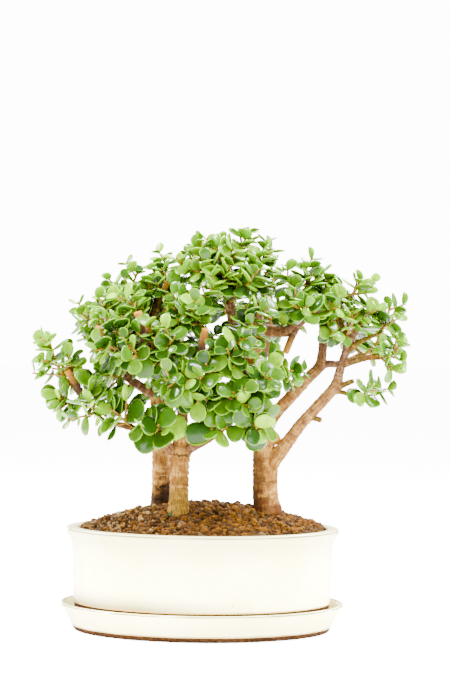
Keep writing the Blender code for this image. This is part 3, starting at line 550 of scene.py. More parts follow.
# Pruned ends that stand bare among the leaves: foot, cut end and radius
STUBS = {
    "front": [((-53, -51, 268), (-63, -53, 305), 3.1), ((-10, -44, 228), (1, -66, 290), 2.8)],
    "back": [((-85, 24, 254), (-103, -14, 290), 2.3), ((-112, 8, 214), (-132, -12, 249), 2.6),
             ((-60, 25, 274), (-37, -8, 334), 2.0), ((-81, 25, 249), (-74, 12, 276), 3.4)],
    "right": [((60, 2, 180), (72, 0, 187), 4.4), ((88, -4, 293), (78, -8, 268), 2.4)],
}
# Where the tip of each leafy spray stands, and how large its leaves are
SPRAYS = {
    "front": [
        (-100, -54, 276, 1.05), (-108, -45, 238, 1.1), (-86, -62, 214, 1.2), (-53, -62, 294, 1.0),
        (-66, -82, 262, 1.05), (-35, -88, 243, 1.1), (-5, -82, 222, 1.15), (-42, -64, 200, 1.3),
        (22, -68, 199, 1.35), (60, -66, 204, 1.3), (28, -88, 232, 1.15), (2, -94, 258, 1.05),
        (36, -82, 284, 1.05), (-28, -78, 282, 1.0), (-2, -60, 312, 1.05), (56, -80, 250, 1.05),
    ],
    "back": [
        (-150, -8, 278, 0.95), (-140, -8, 226, 1.1), (-122, 10, 305, 1.0), (-84, -8, 317, 1.0),
        (-54, 5, 337, 1.0), (-36, 18, 355, 0.95), (-112, 62, 300, 1.0), (-72, 94, 286, 1.0),
        (-22, 102, 294, 1.0), (-50, 62, 330, 1.0), (-104, 46, 244, 1.1), (-44, 88, 246, 1.1),
    ],
    "right": [
        (-9, 0, 370, 0.95), (43, -46, 336, 1.05), (33, 10, 382, 1.0), (64, 3, 368, 1.0),
        (94, -10, 350, 1.0), (50, -60, 308, 1.05), (82, -50, 314, 1.05), (117, -2, 338, 1.0),
        (114, -36, 310, 1.0), (150, -10, 340, 0.95), (178, -6, 314, 1.0), (141, -24, 308, 1.0),
        (186, -34, 278, 1.0), (162, -30, 238, 1.05), (84, -44, 252, 1.05),
        (174, 54, 286, 1.0), (115, 52, 328, 1.0), (78, 94, 300, 1.0), (14, 70, 340, 1.0),
        (66, 62, 344, 1.0), (130, 74, 292, 1.05), (32, 100, 298, 1.05), (14, 90, 256, 1.1),
    ],
}
GAP, TWIG_GAP = 0.35, 0.6  # between pieces, and between a woody twig's end and its green stem
BURIED = 44.0  # how far a trunk goes on below its first point
TRUNK_SIDES, LIMB_SIDES, BRANCH_SIDES, TWIG_SIDES, STEM_SIDES = 9, 6, 5, 3, 3  # of the room they need
BRANCH_RADIUS = 5.0  # a limb that starts thinner is a branch
STUB_FOOT = 1.15  # a pruned end is this much thicker at its foot
NEAREST_FOOT, THICKEST_FOOT = 32.0, 8.0  # a twig leaves a limb no nearer its tip, and no thicker
# What counts against a place for a twig's foot, in millimetres of twig: each millimetre of the limb's
# radius, each that the twig hangs down, and each twig that has left nearby. A limb's end counts for it.
RADIUS_COST, HANG_COST, TAKEN_COST, NEARBY, END_GAIN = 3.0, 0.3, 12.0, 6.0, 12.0
TURN_COST = 0.5  # share of its length that counts against a twig square to its limb
TWIG_THICKEST, TWIG_SHARE = 2.9, 0.75  # radius of a twig's foot: at most, and as a share of its limb's
SHORTEST_STEP = 3.0
LEAFY_LENGTH, LEAFY_SHARE = 36.0, 0.72  # how much of a twig carries leaves
STEM_RADII = (1.75, 1.15)
CROWN_LOW, CROWN_HIGH = 200.0, 300.0  # the heights between which shoots and leaves turn more upwards
SETS_OUT, GOES_OVER = 0.28, 0.3  # a twig's way along its limb and to its tip, as shares of its span
LOW_RISE, HIGH_RISE = 0.1, 0.32  # how far a twig sags on its way, as a share of its span
TWIG_SHIFTS = [Vector()] + [
    Vector((math.cos(turn), math.sin(turn), lift)) * reach
    for reach in (9, 18)
    for lift in (0.0, 0.6)
    for turn in [k * math.pi / 4 for k in range(8)]
]
# Radius over which wood is drawn with so many points round it, and so far from station to station
WOOD_DETAIL = ((7.5, 32, 1.3), (3.5, 18, 1.6), (0.0, 12, 1.8))
TWIG_DETAIL = (8, 2.0)
THINNEST = 0.4
END_STATIONS, END_START = 5, 0.3  # stations of a rounded end, and the angle of the first
CUT_DOME, GROWN_DOME = 0.25, 0.6  # length of a rounded end, in radii
LIMB_FLARE, FLARE_REACH = 0.35, 1.6  # how much wider a limb's foot is, fading over so many radii
GROWN_OVER = 0.7  # bark that has thickened the trunks and the pruned ends
WOOD_SEED, TWIG_SEED = 5, 8
# The bark's relief, in shares of the wood's radius to a power that keeps it lower on thick wood
GRAIN_HEIGHT, RELIEF_POWER, RELIEF_RADIUS = 0.035, 0.84, 9.0
RIDGE_COUNTS, RIDGE_HEIGHT, RIDGE_WANDER = (3, 5, 8, 13), 0.09, 1.2
ANY_TURN, WANDER_LENGTHS, FADE_LENGTHS = (0, 6.3), (9, 22), (14, 30)
FIRST_SCAR, SCARS_APART = (2, 5), (5.0, 14.0)
SCAR_DEPTH, SCAR_WIDTH, SCAR_SLANT = 0.13, 0.75, 0.5
SWELL_HEIGHT, SWELL_WIDTH, SWELL_AFTER = 0.08, 1.1, 1.6  # the swelling after each scar
YOUNG_RADIUS, OLD_OVER = 1.4, 7.0  # bark is young at this radius, and old at so much more
CUT_WHOLE, CUT_FADE = 1.05, 18.0  # a pruned end is fresh, and its colour fades over this length
BARK_LIGHT, BARK_TAN, BARK_CRACK = "#C08E42", "#8C5C22", "#3C1F08"
LIMB_PINK, TWIG_OLIVE, TWIG_ORANGE, CUT_ORANGE = "#785844", "#6E6008", "#90601A", "#B87A20"
CRACK_SHARE, RING_SHARE, LIMB_RING_SHARE = 0.75, 0.25, 0.6
CRACKS_APART, RINGS_APART, PATCHES_APART, RAGS_APART = 1.25, 5.0, 9.09, 6.25
ALONG_WOOD, ROUND_WOOD = (1.0, 1.0, 0.15), (0.07, 0.07, 1.0)  # which way a pattern is drawn out
# Height, slope to the left, strength and colour of each trunk's dark foot, as TRUNK_FEET: moss on the
# front trunk, painted shade on the back trunk, a reddish stain with painted shade up its left side on the
# right trunk
FOOT_STAINS_AND_SHADE = ((18, 0.0, 0.6, "#7A6204"), (14, 1.0, 0.97, "#140C05"), (7, -0.7, 0.85, "#431E06"))
STAIN_ENDS, STAIN_FULL = 55, 30  # distances from the foot
STAIN_RAGGED, STAIN_OVER, STAIN_UNDER = 50, 35, 20  # its upper edge strays, and fades between these
# Old breaks round the trunks: x, y, z and radius of the ring, its half height, strength and colour
OLD_BREAKS = [
    (-22, -28, 170, 11.0, 0.7, 0.85, "#3C1F08"), (-23, -28, 143, 10.5, 0.4, 0.4, "#3C1F08"),
    (-42, 33, 154, 10.0, 0.5, 0.6, "#B08450"), (-42, 34, 145, 10.0, 0.5, 0.6, "#B08450"),
    (59, 2, 143, 14.0, 0.6, 0.8, "#3C1F08"), (60, 2, 128, 14.0, 0.5, 0.6, "#3C1F08"),
    (58, 2, 166, 13.0, 0.5, 0.5, "#3C1F08"),
]
BREAK_STRAY, BREAK_ENDS, BREAK_FULL = 4, 3, 1  # how far it strays up or down, and where it fades out
RIGHT_TRUNK_SHADE = (50, 0, 152, 15.5, 46.0, "#4A2C10")  # painted shade on the right trunk's left side: place, reach, colour
RIGHT_TRUNK_SHADE_SHARE, RIGHT_TRUNK_SHADE_DEPTH = 0.75, 0.6  # its strength, and its squeeze from front to back
RIGHT_TRUNK_SHADE_RAGGED, RIGHT_TRUNK_SHADE_ENDS, RIGHT_TRUNK_SHADE_FULL = 20, 9, 2


def coarse_tube(points, radii, sides):
    """A closed tube of a few flat sides, for finding room. Its side vectors are carried along without
    twist, as the model's are."""
    last = len(points) - 1
    tangents = [(points[min(i + 1, last)] - points[max(i - 1, 0)]).normalized() for i in range(last + 1)]
    side = tangents[0].orthogonal().normalized()
    out, faces = [], []
    for point, radius, tangent in zip(points, radii, tangents):
        side = (side - tangent * side.dot(tangent)).normalized()
        up = tangent.cross(side)
        for i in range(sides):
            turn = 2 * math.pi * i / sides
            out.append(point + (side * math.cos(turn) + up * math.sin(turn)) * radius)
    for ring in range(last):
        low, high = ring * sides, (ring + 1) * sides
        for i in range(sides):
            j = (i + 1) % sides
            faces.append((low + i, low + j, high + j, high + i))
    faces.append(tuple(reversed(range(sides))))
    faces.append(tuple(range(len(out) - sides, len(out))))
    return out, faces


class Placed:
    """Meshes already in place, so that what comes next can be bent clear of them. The ball round each
    says at once which are too far away to meet."""

    def __init__(self):
        self.labels, self.trees, self.balls = [], [], np.zeros((0, 4))

    def add(self, label, points, faces):
        """Puts a mesh in place. Those that belong together share a label."""
        self.labels.append(label)
        self.trees.append(BVHTree.FromPolygons(points, faces))
        self.balls = np.vstack([self.balls, self.ball(points)])

    @staticmethod
    def ball(points):
        """Centre and radius of a ball round the points: their mean, and the farthest from it."""
        points = np.array([tuple(p) for p in points])
        centre = points.mean(axis=0)
        return [*centre, np.linalg.norm(points - centre, axis=1).max()]

    def is_clear(self, points, faces, own=()):
        """Whether a mesh meets nothing that is in place, apart from its own labels."""
        x, y, z, reach = self.ball(points)
        away = np.linalg.norm(self.balls[:, :3] - (x, y, z), axis=1)
        tree = None
        for i in np.flatnonzero(away <= self.balls[:, 3] + reach):
            if self.labels[i] in own:
                continue
            tree = tree or BVHTree.FromPolygons(points, faces)
            if tree.overlap(self.trees[i]):
                return False
        return True


def route_of(rows):
    """A route's points, and its radii."""
    return [Vector(row[:3]) for row in rows], [row[3] for row in rows]


def bowed(start, bend, end, count):
    """Points along a quadratic curve from start to end, pulled towards bend."""
    shares = [i / (count - 1) for i in range(count)]
    return [start * (1 - t) ** 2 + bend * (2 * t * (1 - t)) + end * t**2 for t in shares]


def tapered(start, end, count):
    """Radii in even steps from start to end."""
    return [start + (end - start) * i / (count - 1) for i in range(count)]


def length_of(points):
    """Sum of the distances from point to point."""
    return sum((b - a).length for a, b in zip(points, points[1:]))


def point_back_from_end(points, distance):
    """The point that lies this far along the route from its end, and the index after it."""
    for i in range(len(points) - 1, 0, -1):
        step = (points[i] - points[i - 1]).length
        if step >= distance:
            return points[i].lerp(points[i - 1], distance / step), i
        distance -= step
    return points[0].copy(), 1


def split_route(points, leafy):
    """The bare foot of a twig's route, and its leafy end, which starts a gap further on."""
    at, index = point_back_from_end(points, leafy)
    foot, end = points[:index] + [at], [at] + points[index:]
    if len(foot) > 2 and (foot[-1] - foot[-2]).length < SHORTEST_STEP:
        foot.pop(-2)
    if len(end) > 2 and (end[1] - end[0]).length < SHORTEST_STEP:
        end.pop(1)
    end[0] = end[0] + (end[1] - end[0]).normalized() * TWIG_GAP
    return foot, end


def where_it_leaves(tree, tip, taken):
    """The place on the tree's limbs that a twig to this tip grows from, with the limb's direction and
    radius there. A twig leaves forwards, from a thin limb sooner than from a trunk, best of all from a
    limb's end, and not where another twig has left."""
    best = None
    for rows in [TRUNKS[tree]] + LIMBS[tree]:
        points, radii = route_of(rows)
        for i in range(1, len(points)):
            for share in (0.5, 1.0):
                at = points[i - 1].lerp(points[i], share)
                radius = radii[i - 1] + (radii[i] - radii[i - 1]) * share
                along = (points[i] - points[i - 1]).normalized()
                way = tip - at
                if way.length < NEAREST_FOOT or radius > THICKEST_FOOT:
                    continue
                straight = along.dot(way.normalized())
                cost = way.length * (1.0 + TURN_COST - TURN_COST * straight) + RADIUS_COST * radius
                cost += HANG_COST * max(0.0, at.z - tip.z)
                cost += sum(TAKEN_COST for other in taken if (other - at).length < NEARBY)
                if i == len(points) - 1 and share == 1.0:
                    cost -= END_GAIN
                if best is None or cost < best[0]:
                    best = (cost, at, along, radius)
    taken.append(best[1])
    return best[1:]


def height_share(point):
    """From 0 at the crown's lowest leaves to 1 near its top."""
    return min(max((point.z - CROWN_LOW) / (CROWN_HIGH - CROWN_LOW), 0.0), 1.0)


def place_twig(placed, tree, name, tip, taken):
    """Bends a twig clear of what stands, and returns its bare foot and its leafy end. It sets out along
    its limb and below its tip, and then turns up to it, most of all high in the crown."""
    at, along, radius = where_it_leaves(tree, tip, taken)
    span = (tip - at).length
    start_radius = min(radius * TWIG_SHARE, TWIG_THICKEST)
    rise = LOW_RISE + (HIGH_RISE - LOW_RISE) * height_share(tip)
    middle = at + along * (SETS_OUT * span) + (tip - at) * GOES_OVER - Vector((0, 0, rise * span))
    for shift in TWIG_SHIFTS:
        leafy = min(LEAFY_LENGTH, LEAFY_SHARE * span)
        foot, end = split_route(bowed(at, middle + shift, tip, 4), leafy)
        foot_radii = tapered(start_radius, STEM_RADII[0], len(foot))
        end_radii = tapered(*STEM_RADII, len(end))
        wood = coarse_tube(foot, [r + GAP for r in foot_radii], TWIG_SIDES)
        green = coarse_tube(end, [r + GAP for r in end_radii], STEM_SIDES)
        if placed.is_clear(*wood, own=("wood_" + tree,)) and placed.is_clear(*green):
            placed.add("wood_" + tree, *coarse_tube(foot, foot_radii, TWIG_SIDES))
            placed.add(name, *coarse_tube(end, end_radii, STEM_SIDES))
            return (foot, foot_radii), (end, end_radii)
    return None


def bare_wood(tree):
    """The routes of a tree's trunk, limbs and pruned ends: points, radii, sides of the room they need,
    and whether the end was cut."""
    x, y, z, radius = TRUNKS[tree][0]
    trunk, radii = route_of(TRUNKS[tree])
    parts = [([Vector((x, y, z - BURIED))] + trunk, [radius] + radii, TRUNK_SIDES, False)]
    for rows in LIMBS[tree]:
        sides = LIMB_SIDES if rows[0][3] > BRANCH_RADIUS else BRANCH_SIDES
        parts.append((*route_of(rows), sides, False))
    for foot, end, radius in STUBS[tree]:
        radii = [radius * STUB_FOOT, radius]
        parts.append(([Vector(foot), Vector(end)], radii, BRANCH_SIDES, True))
    return parts


def smooth_route(points, radii, step):
    """A curve through the route's points with a station about every step: on each stretch, the
    Catmull-Rom cubic of its two ends and their neighbours. The radius is carried as a fourth value."""
    rows = np.column_stack([np.array([tuple(p) for p in points]), radii])
    padded = np.vstack([2 * rows[0] - rows[1], rows, 2 * rows[-1] - rows[-2]])
    stretches = []
    for a, b, c, d in zip(padded, padded[1:], padded[2:], padded[3:]):
        count = max(2, int(math.ceil(np.linalg.norm((c - b)[:3]) / step)))
        t = np.linspace(0.0, 1.0, count, endpoint=False)[:, None]
        stretches.append(0.5 * (2 * b + (c - a) * t + (2 * a - 5 * b + 4 * c - d) * t**2
                                + (3 * b - a - 3 * c + d) * t**3))
    route = np.vstack(stretches + [rows[-1:]])
    return route[:, :3], np.maximum(route[:, 3], THINNEST)


def unit(vectors):
    """The vectors, each divided by its length."""
    return vectors / np.linalg.norm(vectors, axis=-1, keepdims=True)


def swept(route, radius):
    """Point (s, t) is the route's point s, plus the radius at (s, t) in the direction t of two side
    vectors that are carried along the route without twist. The first starts square to the route and to
    a direction that no route sets out in."""
    tangent = unit(np.gradient(route, axis=0))
    side = unit(np.cross(tangent[0], (0.3, 0.9, 0.2)))
    carried = []
    for way in tangent:
        side = side - way * (side @ way)
        side = side / np.linalg.norm(side)
        carried.append(side)
    side = np.array(carried)
    up = np.cross(tangent, side)
    turn = np.linspace(0.0, 2 * math.pi, radius.shape[1], endpoint=False)[None, :, None]
    return route[:, None] + (side[:, None] * np.cos(turn) + up[:, None] * np.sin(turn)) * radius[..., None]


def with_ends(route, radius, dome):
    """The route and radii with a closed start and a rounded end: the last stations follow a quarter of
    an ellipse, dome times as long as it is wide."""
    shares = np.sin(np.linspace(END_START, math.pi / 2, END_STATIONS))
    tangent = unit(route[-1] - route[-2])
    beyond = route[-1] + tangent * (radius[-1].mean() * dome * shares)[:, None]
    ends = radius[-1] * np.sqrt(1.0 - np.minimum(shares, 0.999) ** 2)[:, None]
    before = route[:1] - unit(route[1] - route[0]) * 0.05
    return np.vstack([before, route, beyond]), np.vstack([radius[:1] * 0.05, radius, ends])


def bark_relief(along, turn, radius, draw):
    """Height of the bark over the plain tube, at s along it and t round it: a random grain, ridges that
    are sines of so many turns round the wood and wander and fade along it, and at each old leaf scar a
    groove with a swelling after it. All of it grows with the radius."""
    s, t = along[:, None], turn[None, :]
    height = draw.normal(0.0, GRAIN_HEIGHT, (len(along), len(turn)))
    for count in RIDGE_COUNTS:
        start, length = draw.uniform(*ANY_TURN), draw.uniform(*WANDER_LENGTHS)
        ridge = np.sin(count * t + start + RIDGE_WANDER * np.sin(s / length))
        length, start = draw.uniform(*FADE_LENGTHS), draw.uniform(*ANY_TURN)
        height += ridge * (RIDGE_HEIGHT / count ** 0.5) * np.sin(s / length + start)
    at = draw.uniform(*FIRST_SCAR)
    while at < along[-1]:
        groove = np.exp(-(((s - at - SCAR_SLANT * np.sin(t + at)) / SCAR_WIDTH) ** 2))
        height -= SCAR_DEPTH * groove * (0.65 + 0.35 * np.sin(2 * t + at))
        swelling = np.exp(-(((s - at - SWELL_AFTER) / SWELL_WIDTH) ** 2))
        height += SWELL_HEIGHT * swelling * (1 + 0.5 * np.sin(3 * t - at))
        at += draw.uniform(*SCARS_APART)
    return height * np.minimum(radius[:, None], RELIEF_RADIUS) ** RELIEF_POWER


def wood_surface(points, radii, sides, step, draw, dome, cut=0.0, flare=0.0, bark=0.0):
    """One tube of wood as a grid, with the bark's own coordinates, its age and how freshly it is cut.
    A limb is wider where it leaves its parent, by flare, over its first two radii, and bark is the
    thickness of what has grown over it."""
    route, radius = smooth_route(points, radii, step)
    radius = radius + bark
    along = np.concatenate([[0.0], np.cumsum(np.linalg.norm(np.diff(route, axis=0), axis=1))])
    turn = np.linspace(0.0, 2 * math.pi, sides, endpoint=False)
    wide = radius * (1.0 + flare * np.exp(-along / (FLARE_REACH * radius)))
    full = wide[:, None] + bark_relief(along, turn, radius, draw)
    surface = swept(*with_ends(route, full, dome))
    beyond = along[-1] + radius[-1] * dome * np.linspace(0.2, 1, END_STATIONS)
    along = np.concatenate([along[:1], along, beyond])
    mean = np.concatenate([radius[:1], radius, np.repeat(radius[-1:], END_STATIONS)])
    place = np.stack([np.cos(turn)[None] * mean[:, None], np.sin(turn)[None] * mean[:, None],
                      np.repeat(along[:, None], sides, axis=1)], axis=2)
    age = np.repeat(np.clip((mean[:, None] - YOUNG_RADIUS) / OLD_OVER, 0, 1), sides, axis=1)
    fresh = np.clip(CUT_WHOLE - (along[-1] - along[:, None]) / CUT_FADE, 0, 1) * cut
    return surface, place, age, np.repeat(fresh, sides, axis=1)


def twig_surfaces(sprays, draw):
    """The sprays' bare twigs, each a grid with its marks."""
    return [
        wood_surface(*spray["foot"], *TWIG_DETAIL, draw, GROWN_DOME, flare=LIMB_FLARE)
        for spray in sprays
    ]


def gathered(name, finish, surfaces, names):
    """One object from several grids, each with its marks."""
    points, faces, start = [], [], 0
    for grid, *_ in surfaces:
        faces += closed_grid(*grid.shape[:2], start)
        start += grid.shape[0] * grid.shape[1]
        points.append(grid.reshape(-1, 3))
    marks = {
        mark: np.concatenate([s[i + 1].reshape(-1, 3) if s[i + 1].ndim == 3 else s[i + 1].ravel()
                              for s in surfaces])
        for i, mark in enumerate(names)
    }
    return mesh_object(name, np.vstack(points), faces, finish, **marks)


MINUS, ABSOLUTE = {"operation": "SUBTRACT"}, {"operation": "ABSOLUTE"}
LENGTH, DOT = {"operation": "LENGTH"}, {"operation": "DOT_PRODUCT"}


def bark_finish():
    """Dry bark: tan on old wood and pinkish on limbs, olive on young twigs. Fine cracks run up it, thin
    rings and old breaks go round it, and the right trunk's left side is painted dark as shade. Where it
    stands in the soil it is mossy on the front trunk, painted dark as shade on the back one, reddish with
    painted shade up its left side on the right one, and orange where it was cut."""
    finish, tree, shader = finish_tree("ringed_jade_bark", 0.85, Specular_IOR_Level=0.12)
    place = add_node(tree, "Attribute", {"attribute_name": "bark_place"}, "Vector")
    age = add_node(tree, "Attribute", {"attribute_name": "bark_age"}, "Fac")
    fresh = add_node(tree, "Attribute", {"attribute_name": "bark_fresh"}, "Fac")
    where = add_node(tree, "TexCoord", out="Object")
    upright = add_node(tree, "Mapping", Vector=place, Scale=ALONG_WOOD)
    streak = add_node(tree, "TexNoise", Vector=upright, Scale=1 / CRACKS_APART, Detail=4.0, Roughness=0.7)
    level = add_node(tree, "Mapping", Vector=place, Scale=ROUND_WOOD)
    ring = add_node(tree, "TexNoise", Vector=level, Scale=1 / RINGS_APART, Detail=1.0)
    ring = add_node(tree, "Math", MINUS, in0=ring, in1=0.5)
    ring = add_node(tree, "Math", ABSOLUTE, in0=ring)
    patch = add_node(tree, "TexNoise", Vector=place, Scale=1 / PATCHES_APART, Detail=3.0)
    ragged = add_node(tree, "TexNoise", Vector=place, Scale=1 / RAGS_APART, Detail=3.0)
    light = add_node(tree, "MapRange", EASE, Value=patch, From_Min=0.38, From_Max=0.64)
    orange = add_node(tree, "MapRange", EASE, Value=patch, From_Min=0.42, From_Max=0.58)
    limb = add_node(tree, "MapRange", EASE, Value=age, From_Min=0.12, From_Max=0.34)
    old = add_node(tree, "MapRange", EASE, Value=age, From_Min=0.25, From_Max=0.8)
    body = coated(tree, colour(TWIG_OLIVE), (orange, TWIG_ORANGE), (limb, LIMB_PINK),
                  (old, coated(tree, colour(BARK_TAN), (light, BARK_LIGHT))))
    # Each trunk's foot: moss on the front trunk, painted shade on the back trunk, a reddish stain with
    # painted shade up its left side on the right trunk
    for (x, y, _), (height, slope, most, code) in zip(TRUNK_FEET, FOOT_STAINS_AND_SHADE):
        foot = (x * MM, y * MM, (SOIL_EDGE + SOIL_RISE) * MM)
        off = add_node(tree, "VectorMath", MINUS, in0=where, in1=foot)
        far = add_node(tree, "VectorMath", LENGTH, "Value", in0=off)
        near = add_node(tree, "MapRange", EASE, Value=far, From_Min=STAIN_ENDS * MM,
                        From_Max=STAIN_FULL * MM, To_Max=most)
        high = add_node(tree, "VectorMath", DOT, "Value", in0=off, in1=(-slope, 0.0, 1.0))
        high = add_node(tree, "Math", TIMES_PLUS, in0=ragged, in1=STAIN_RAGGED * MM, in2=high)
        low = add_node(tree, "MapRange", EASE, Value=high, From_Min=(height + STAIN_OVER) * MM,
                       From_Max=(height + STAIN_UNDER) * MM)
        body = coated(tree, body, (add_node(tree, "Math", TIMES, in0=near, in1=low), code))
    crack = add_node(tree, "MapRange", EASE, Value=streak, From_Min=0.52, From_Max=0.38,
                     To_Max=CRACK_SHARE)
    line = add_node(tree, "MapRange", EASE, Value=ring, From_Min=0.1, From_Max=0.03)
    share = add_node(tree, "MapRange", Value=age, From_Min=0.3, From_Max=0.8,
                     To_Min=LIMB_RING_SHARE, To_Max=RING_SHARE)
    line = add_node(tree, "Math", TIMES, in0=line, in1=share)
    body = coated(tree, body, (crack, BARK_CRACK), (line, BARK_CRACK))
    for x, y, z, radius, half, most, code in OLD_BREAKS:
        off = add_node(tree, "VectorMath", MINUS, in0=where, in1=(x * MM, y * MM, z * MM))
        far = add_node(tree, "VectorMath", LENGTH, "Value", in0=off)
        up = add_node(tree, "SeparateXYZ", out="Z", Vector=off)
        up = add_node(tree, "Math", TIMES_PLUS, in0=ragged, in1=2 * BREAK_STRAY * MM, in2=up)
        up = add_node(tree, "Math", MINUS, in0=up, in1=BREAK_STRAY * MM)
        up = add_node(tree, "Math", ABSOLUTE, in0=up)
        line = add_node(tree, "MapRange", EASE, Value=up, From_Min=1.5 * half * MM,
                        From_Max=0.5 * half * MM, To_Max=most)
        near = add_node(tree, "MapRange", EASE, Value=far, From_Min=(radius + BREAK_ENDS) * MM,
                        From_Max=(radius + BREAK_FULL) * MM)
        body = coated(tree, body, (add_node(tree, "Math", TIMES, in0=line, in1=near), code))
    # Painted shade on the right trunk's left side, away from the light
    x, y, z, wide, tall, code = RIGHT_TRUNK_SHADE
    off = add_node(tree, "VectorMath", MINUS, in0=where, in1=(x * MM, y * MM, z * MM))
    off = add_node(tree, "VectorMath", TIMES, in0=off, in1=(1.0, RIGHT_TRUNK_SHADE_DEPTH, wide / tall))
    far = add_node(tree, "VectorMath", LENGTH, "Value", in0=off)
    far = add_node(tree, "Math", TIMES_PLUS, in0=ragged, in1=RIGHT_TRUNK_SHADE_RAGGED * MM, in2=far)
    left_side_shade = add_node(tree, "MapRange", EASE, Value=far, From_Min=(wide + RIGHT_TRUNK_SHADE_ENDS) * MM,
                      From_Max=(wide + RIGHT_TRUNK_SHADE_FULL) * MM, To_Max=RIGHT_TRUNK_SHADE_SHARE)
    body = coated(tree, body, (left_side_shade, code), (fresh, CUT_ORANGE))
    tree.links.new(body, shader.inputs["Base Color"])
    both = add_node(tree, "Math", {"operation": "ADD"}, in0=streak, in1=ring)
    bump = add_node(tree, "Bump", Strength=0.9, Distance=0.6 * MM, Height=both)
    tree.links.new(bump, shader.inputs["Normal"])
    return finish


placed = Placed()
for tree_name in TREES:
    for points, radii, sides, _ in bare_wood(tree_name):
        for i in range(1, len(points)):
            placed.add("wood_" + tree_name, *coarse_tube(points[i - 1:i + 1], radii[i - 1:i + 1], sides))
sprays, taken_feet = [], {tree_name: [] for tree_name in TREES}
for tree_name in TREES:
    for number, (x, y, z, size) in enumerate(SPRAYS[tree_name], 1):
        name = f"{tree_name}_spray_{number:02d}"
        foot, end = place_twig(placed, tree_name, name, Vector((x, y, z)), taken_feet[tree_name])
        sprays.append({"name": name, "tree": tree_name, "size": size, "foot": foot, "end": end})

bark = bark_finish()
WOOD_MARKS = ("bark_place", "bark_age", "bark_fresh")
draw = np.random.default_rng(WOOD_SEED)
for tree_name in TREES:
    surfaces = []
    for points, radii, _, cut in bare_wood(tree_name):
        detail = next(tuple(finer) for thick, *finer in WOOD_DETAIL if max(radii) > thick)
        trunk = len(surfaces) == 0
        surfaces.append(wood_surface(points, radii, *detail, draw, CUT_DOME if cut else GROWN_DOME,
                                     cut=float(cut), flare=0.0 if trunk else LIMB_FLARE,
                                     bark=GROWN_OVER if trunk or cut else 0.0))
    surfaces += twig_surfaces([spray for spray in sprays if spray["tree"] == tree_name], draw)
    wood = gathered(tree_name + "_tree_wood", bark, surfaces, WOOD_MARKS)
    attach(wood, "root")
    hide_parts(tree_name + "_trunk_and_limbs")


# Leafy sprays
# Each spray is a green stem with a short side shoot, and pairs of thick, waxy, round leaves, each pair
# a quarter turn from the last. Young leaves are small and yellow green, and old ones large and dark.

TIP_PAIR, PAIR_STEP = 2.6, 8.6  # from the tip to the youngest pair, and from pair to pair
STEM_PAIRS, SIDE_PAIRS = 3, 2
PAIR_LENGTHS = (15.0, 19.0, 21.5)
PAIR_LEANS = (48.0, 66.0, 78.0)
# What a leaf's length is multiplied by, what its lean in degrees and its turn get, its share of light
LENGTH_DRAW, LEAN_DRAW, TURN_DRAW, LIGHT_DRAW = (0.88, 1.14), (-9, 9), (-0.2, 0.2), (0.35, 0.75)
SIDE_SHOOT, BARE_FOOT = 18.0, 3.0
SIDE_FOOT, SIDE_ONWARD, SIDE_UPWARD, SIDE_THINNER, SIDE_TIP = 0.6, 0.6, 0.35, 0.8, 1.0
CROWN_CENTRE, CROWN_LONG = Vector((15, 5, 275)), 1.5
CROWN_REACH = (180.0, 110.0, 110.0)
LOW_LIGHT, HIGH_LIGHT = 0.55, 1.8  # how much of the light that leaves turn to comes from above
FACE_BACK, FACE_LEAST = 0.2, 0.15  # a leaf's face leans in to the stem, and is never this undecided
LEAF_RIM = ((0.45, 0.38, 0.0), (0.93, 0.27, 0.01))
LEAF_BELLY = (0.56, -0.125)
ROOT_OUT, CLEAR = 0.3, 0.45
# Turn, lean and scale of the tries at finding room for a leaf
LEAF_TRIES = [
    (turn, lean, scale)
    for scale in (1.0, 0.84)
    for lean in (0.0, -0.35, 0.3)
    for turn in (0.0, 0.35, -0.35, 0.7, -0.7)
]
SPRAY_SEED = 1000  # of the first spray, and each has its own
LEAF_STATIONS = np.array([0.0, 0.05, 0.16, 0.32, 0.5, 0.68, 0.84, 0.95, 1.0])
LEAF_AROUND = 8
LEAF_WIDE = 0.41  # half width at the widest, as a share of the length, as all sizes of a leaf are
LEAF_WIDEST = 0.6  # of the way along
ROOT_CLOSE, TIP_CLOSE, ROOT_ROUND, TIP_ROUND = 1.9, 2.4, 0.75, 0.5  # powers that shape its two ends
STALK_WIDE, THIN_RIM = 0.03, 0.8
OVER, UNDER, ROOT_OVER, ROOT_UNDER = 0.055, 0.09, 0.012, 0.02  # half thicknesses, and more at the root
WIDE_DRAW, CUP_DRAW, CURL_DRAW = (0.92, 1.1), (-0.1, 0.12), (-0.16, 0.06)
LEAF_SEED = 21
LEAF_DARK, LEAF_GREEN, LEAF_LIGHT, LEAF_YOUNG = "#1B3D01", "#355F00", "#508A00", "#8EC200"
LEAF_MOTTLE, LEAF_GRAIN = 6.25, 0.7143  # the wax's grain is drawn as coarse as it can show
# The rim's share is painted light: rim and tip take the youngest leaves' green, as if lit through
RIM_GLOW_SHARE, MOTTLE_SHARE = 0.6, 0.3
# How light and how yellow a leaf is: the mean, what the crown's outside adds, what each pair further
# from the tip takes off, and the spread
TINT, TINT_OUTER, TINT_BACK, TINT_SPREAD = 0.35, 0.35, 0.1, 0.25
YOUNG, YOUNG_OUTER, YOUNG_BACK, YOUNG_SPREAD = 0.02, 0.42, 0.15, 0.2
OUTER_SLOPE, OUTER_START = 1.5, 0.5
SUNLIT_SHARE, SUNLIT_DRAW = 0.12, (0.8, 1.0)  # of the leaves are as yellow as the youngest
STEM_TAN, STEM_TINT = "#8A681C", 0.6


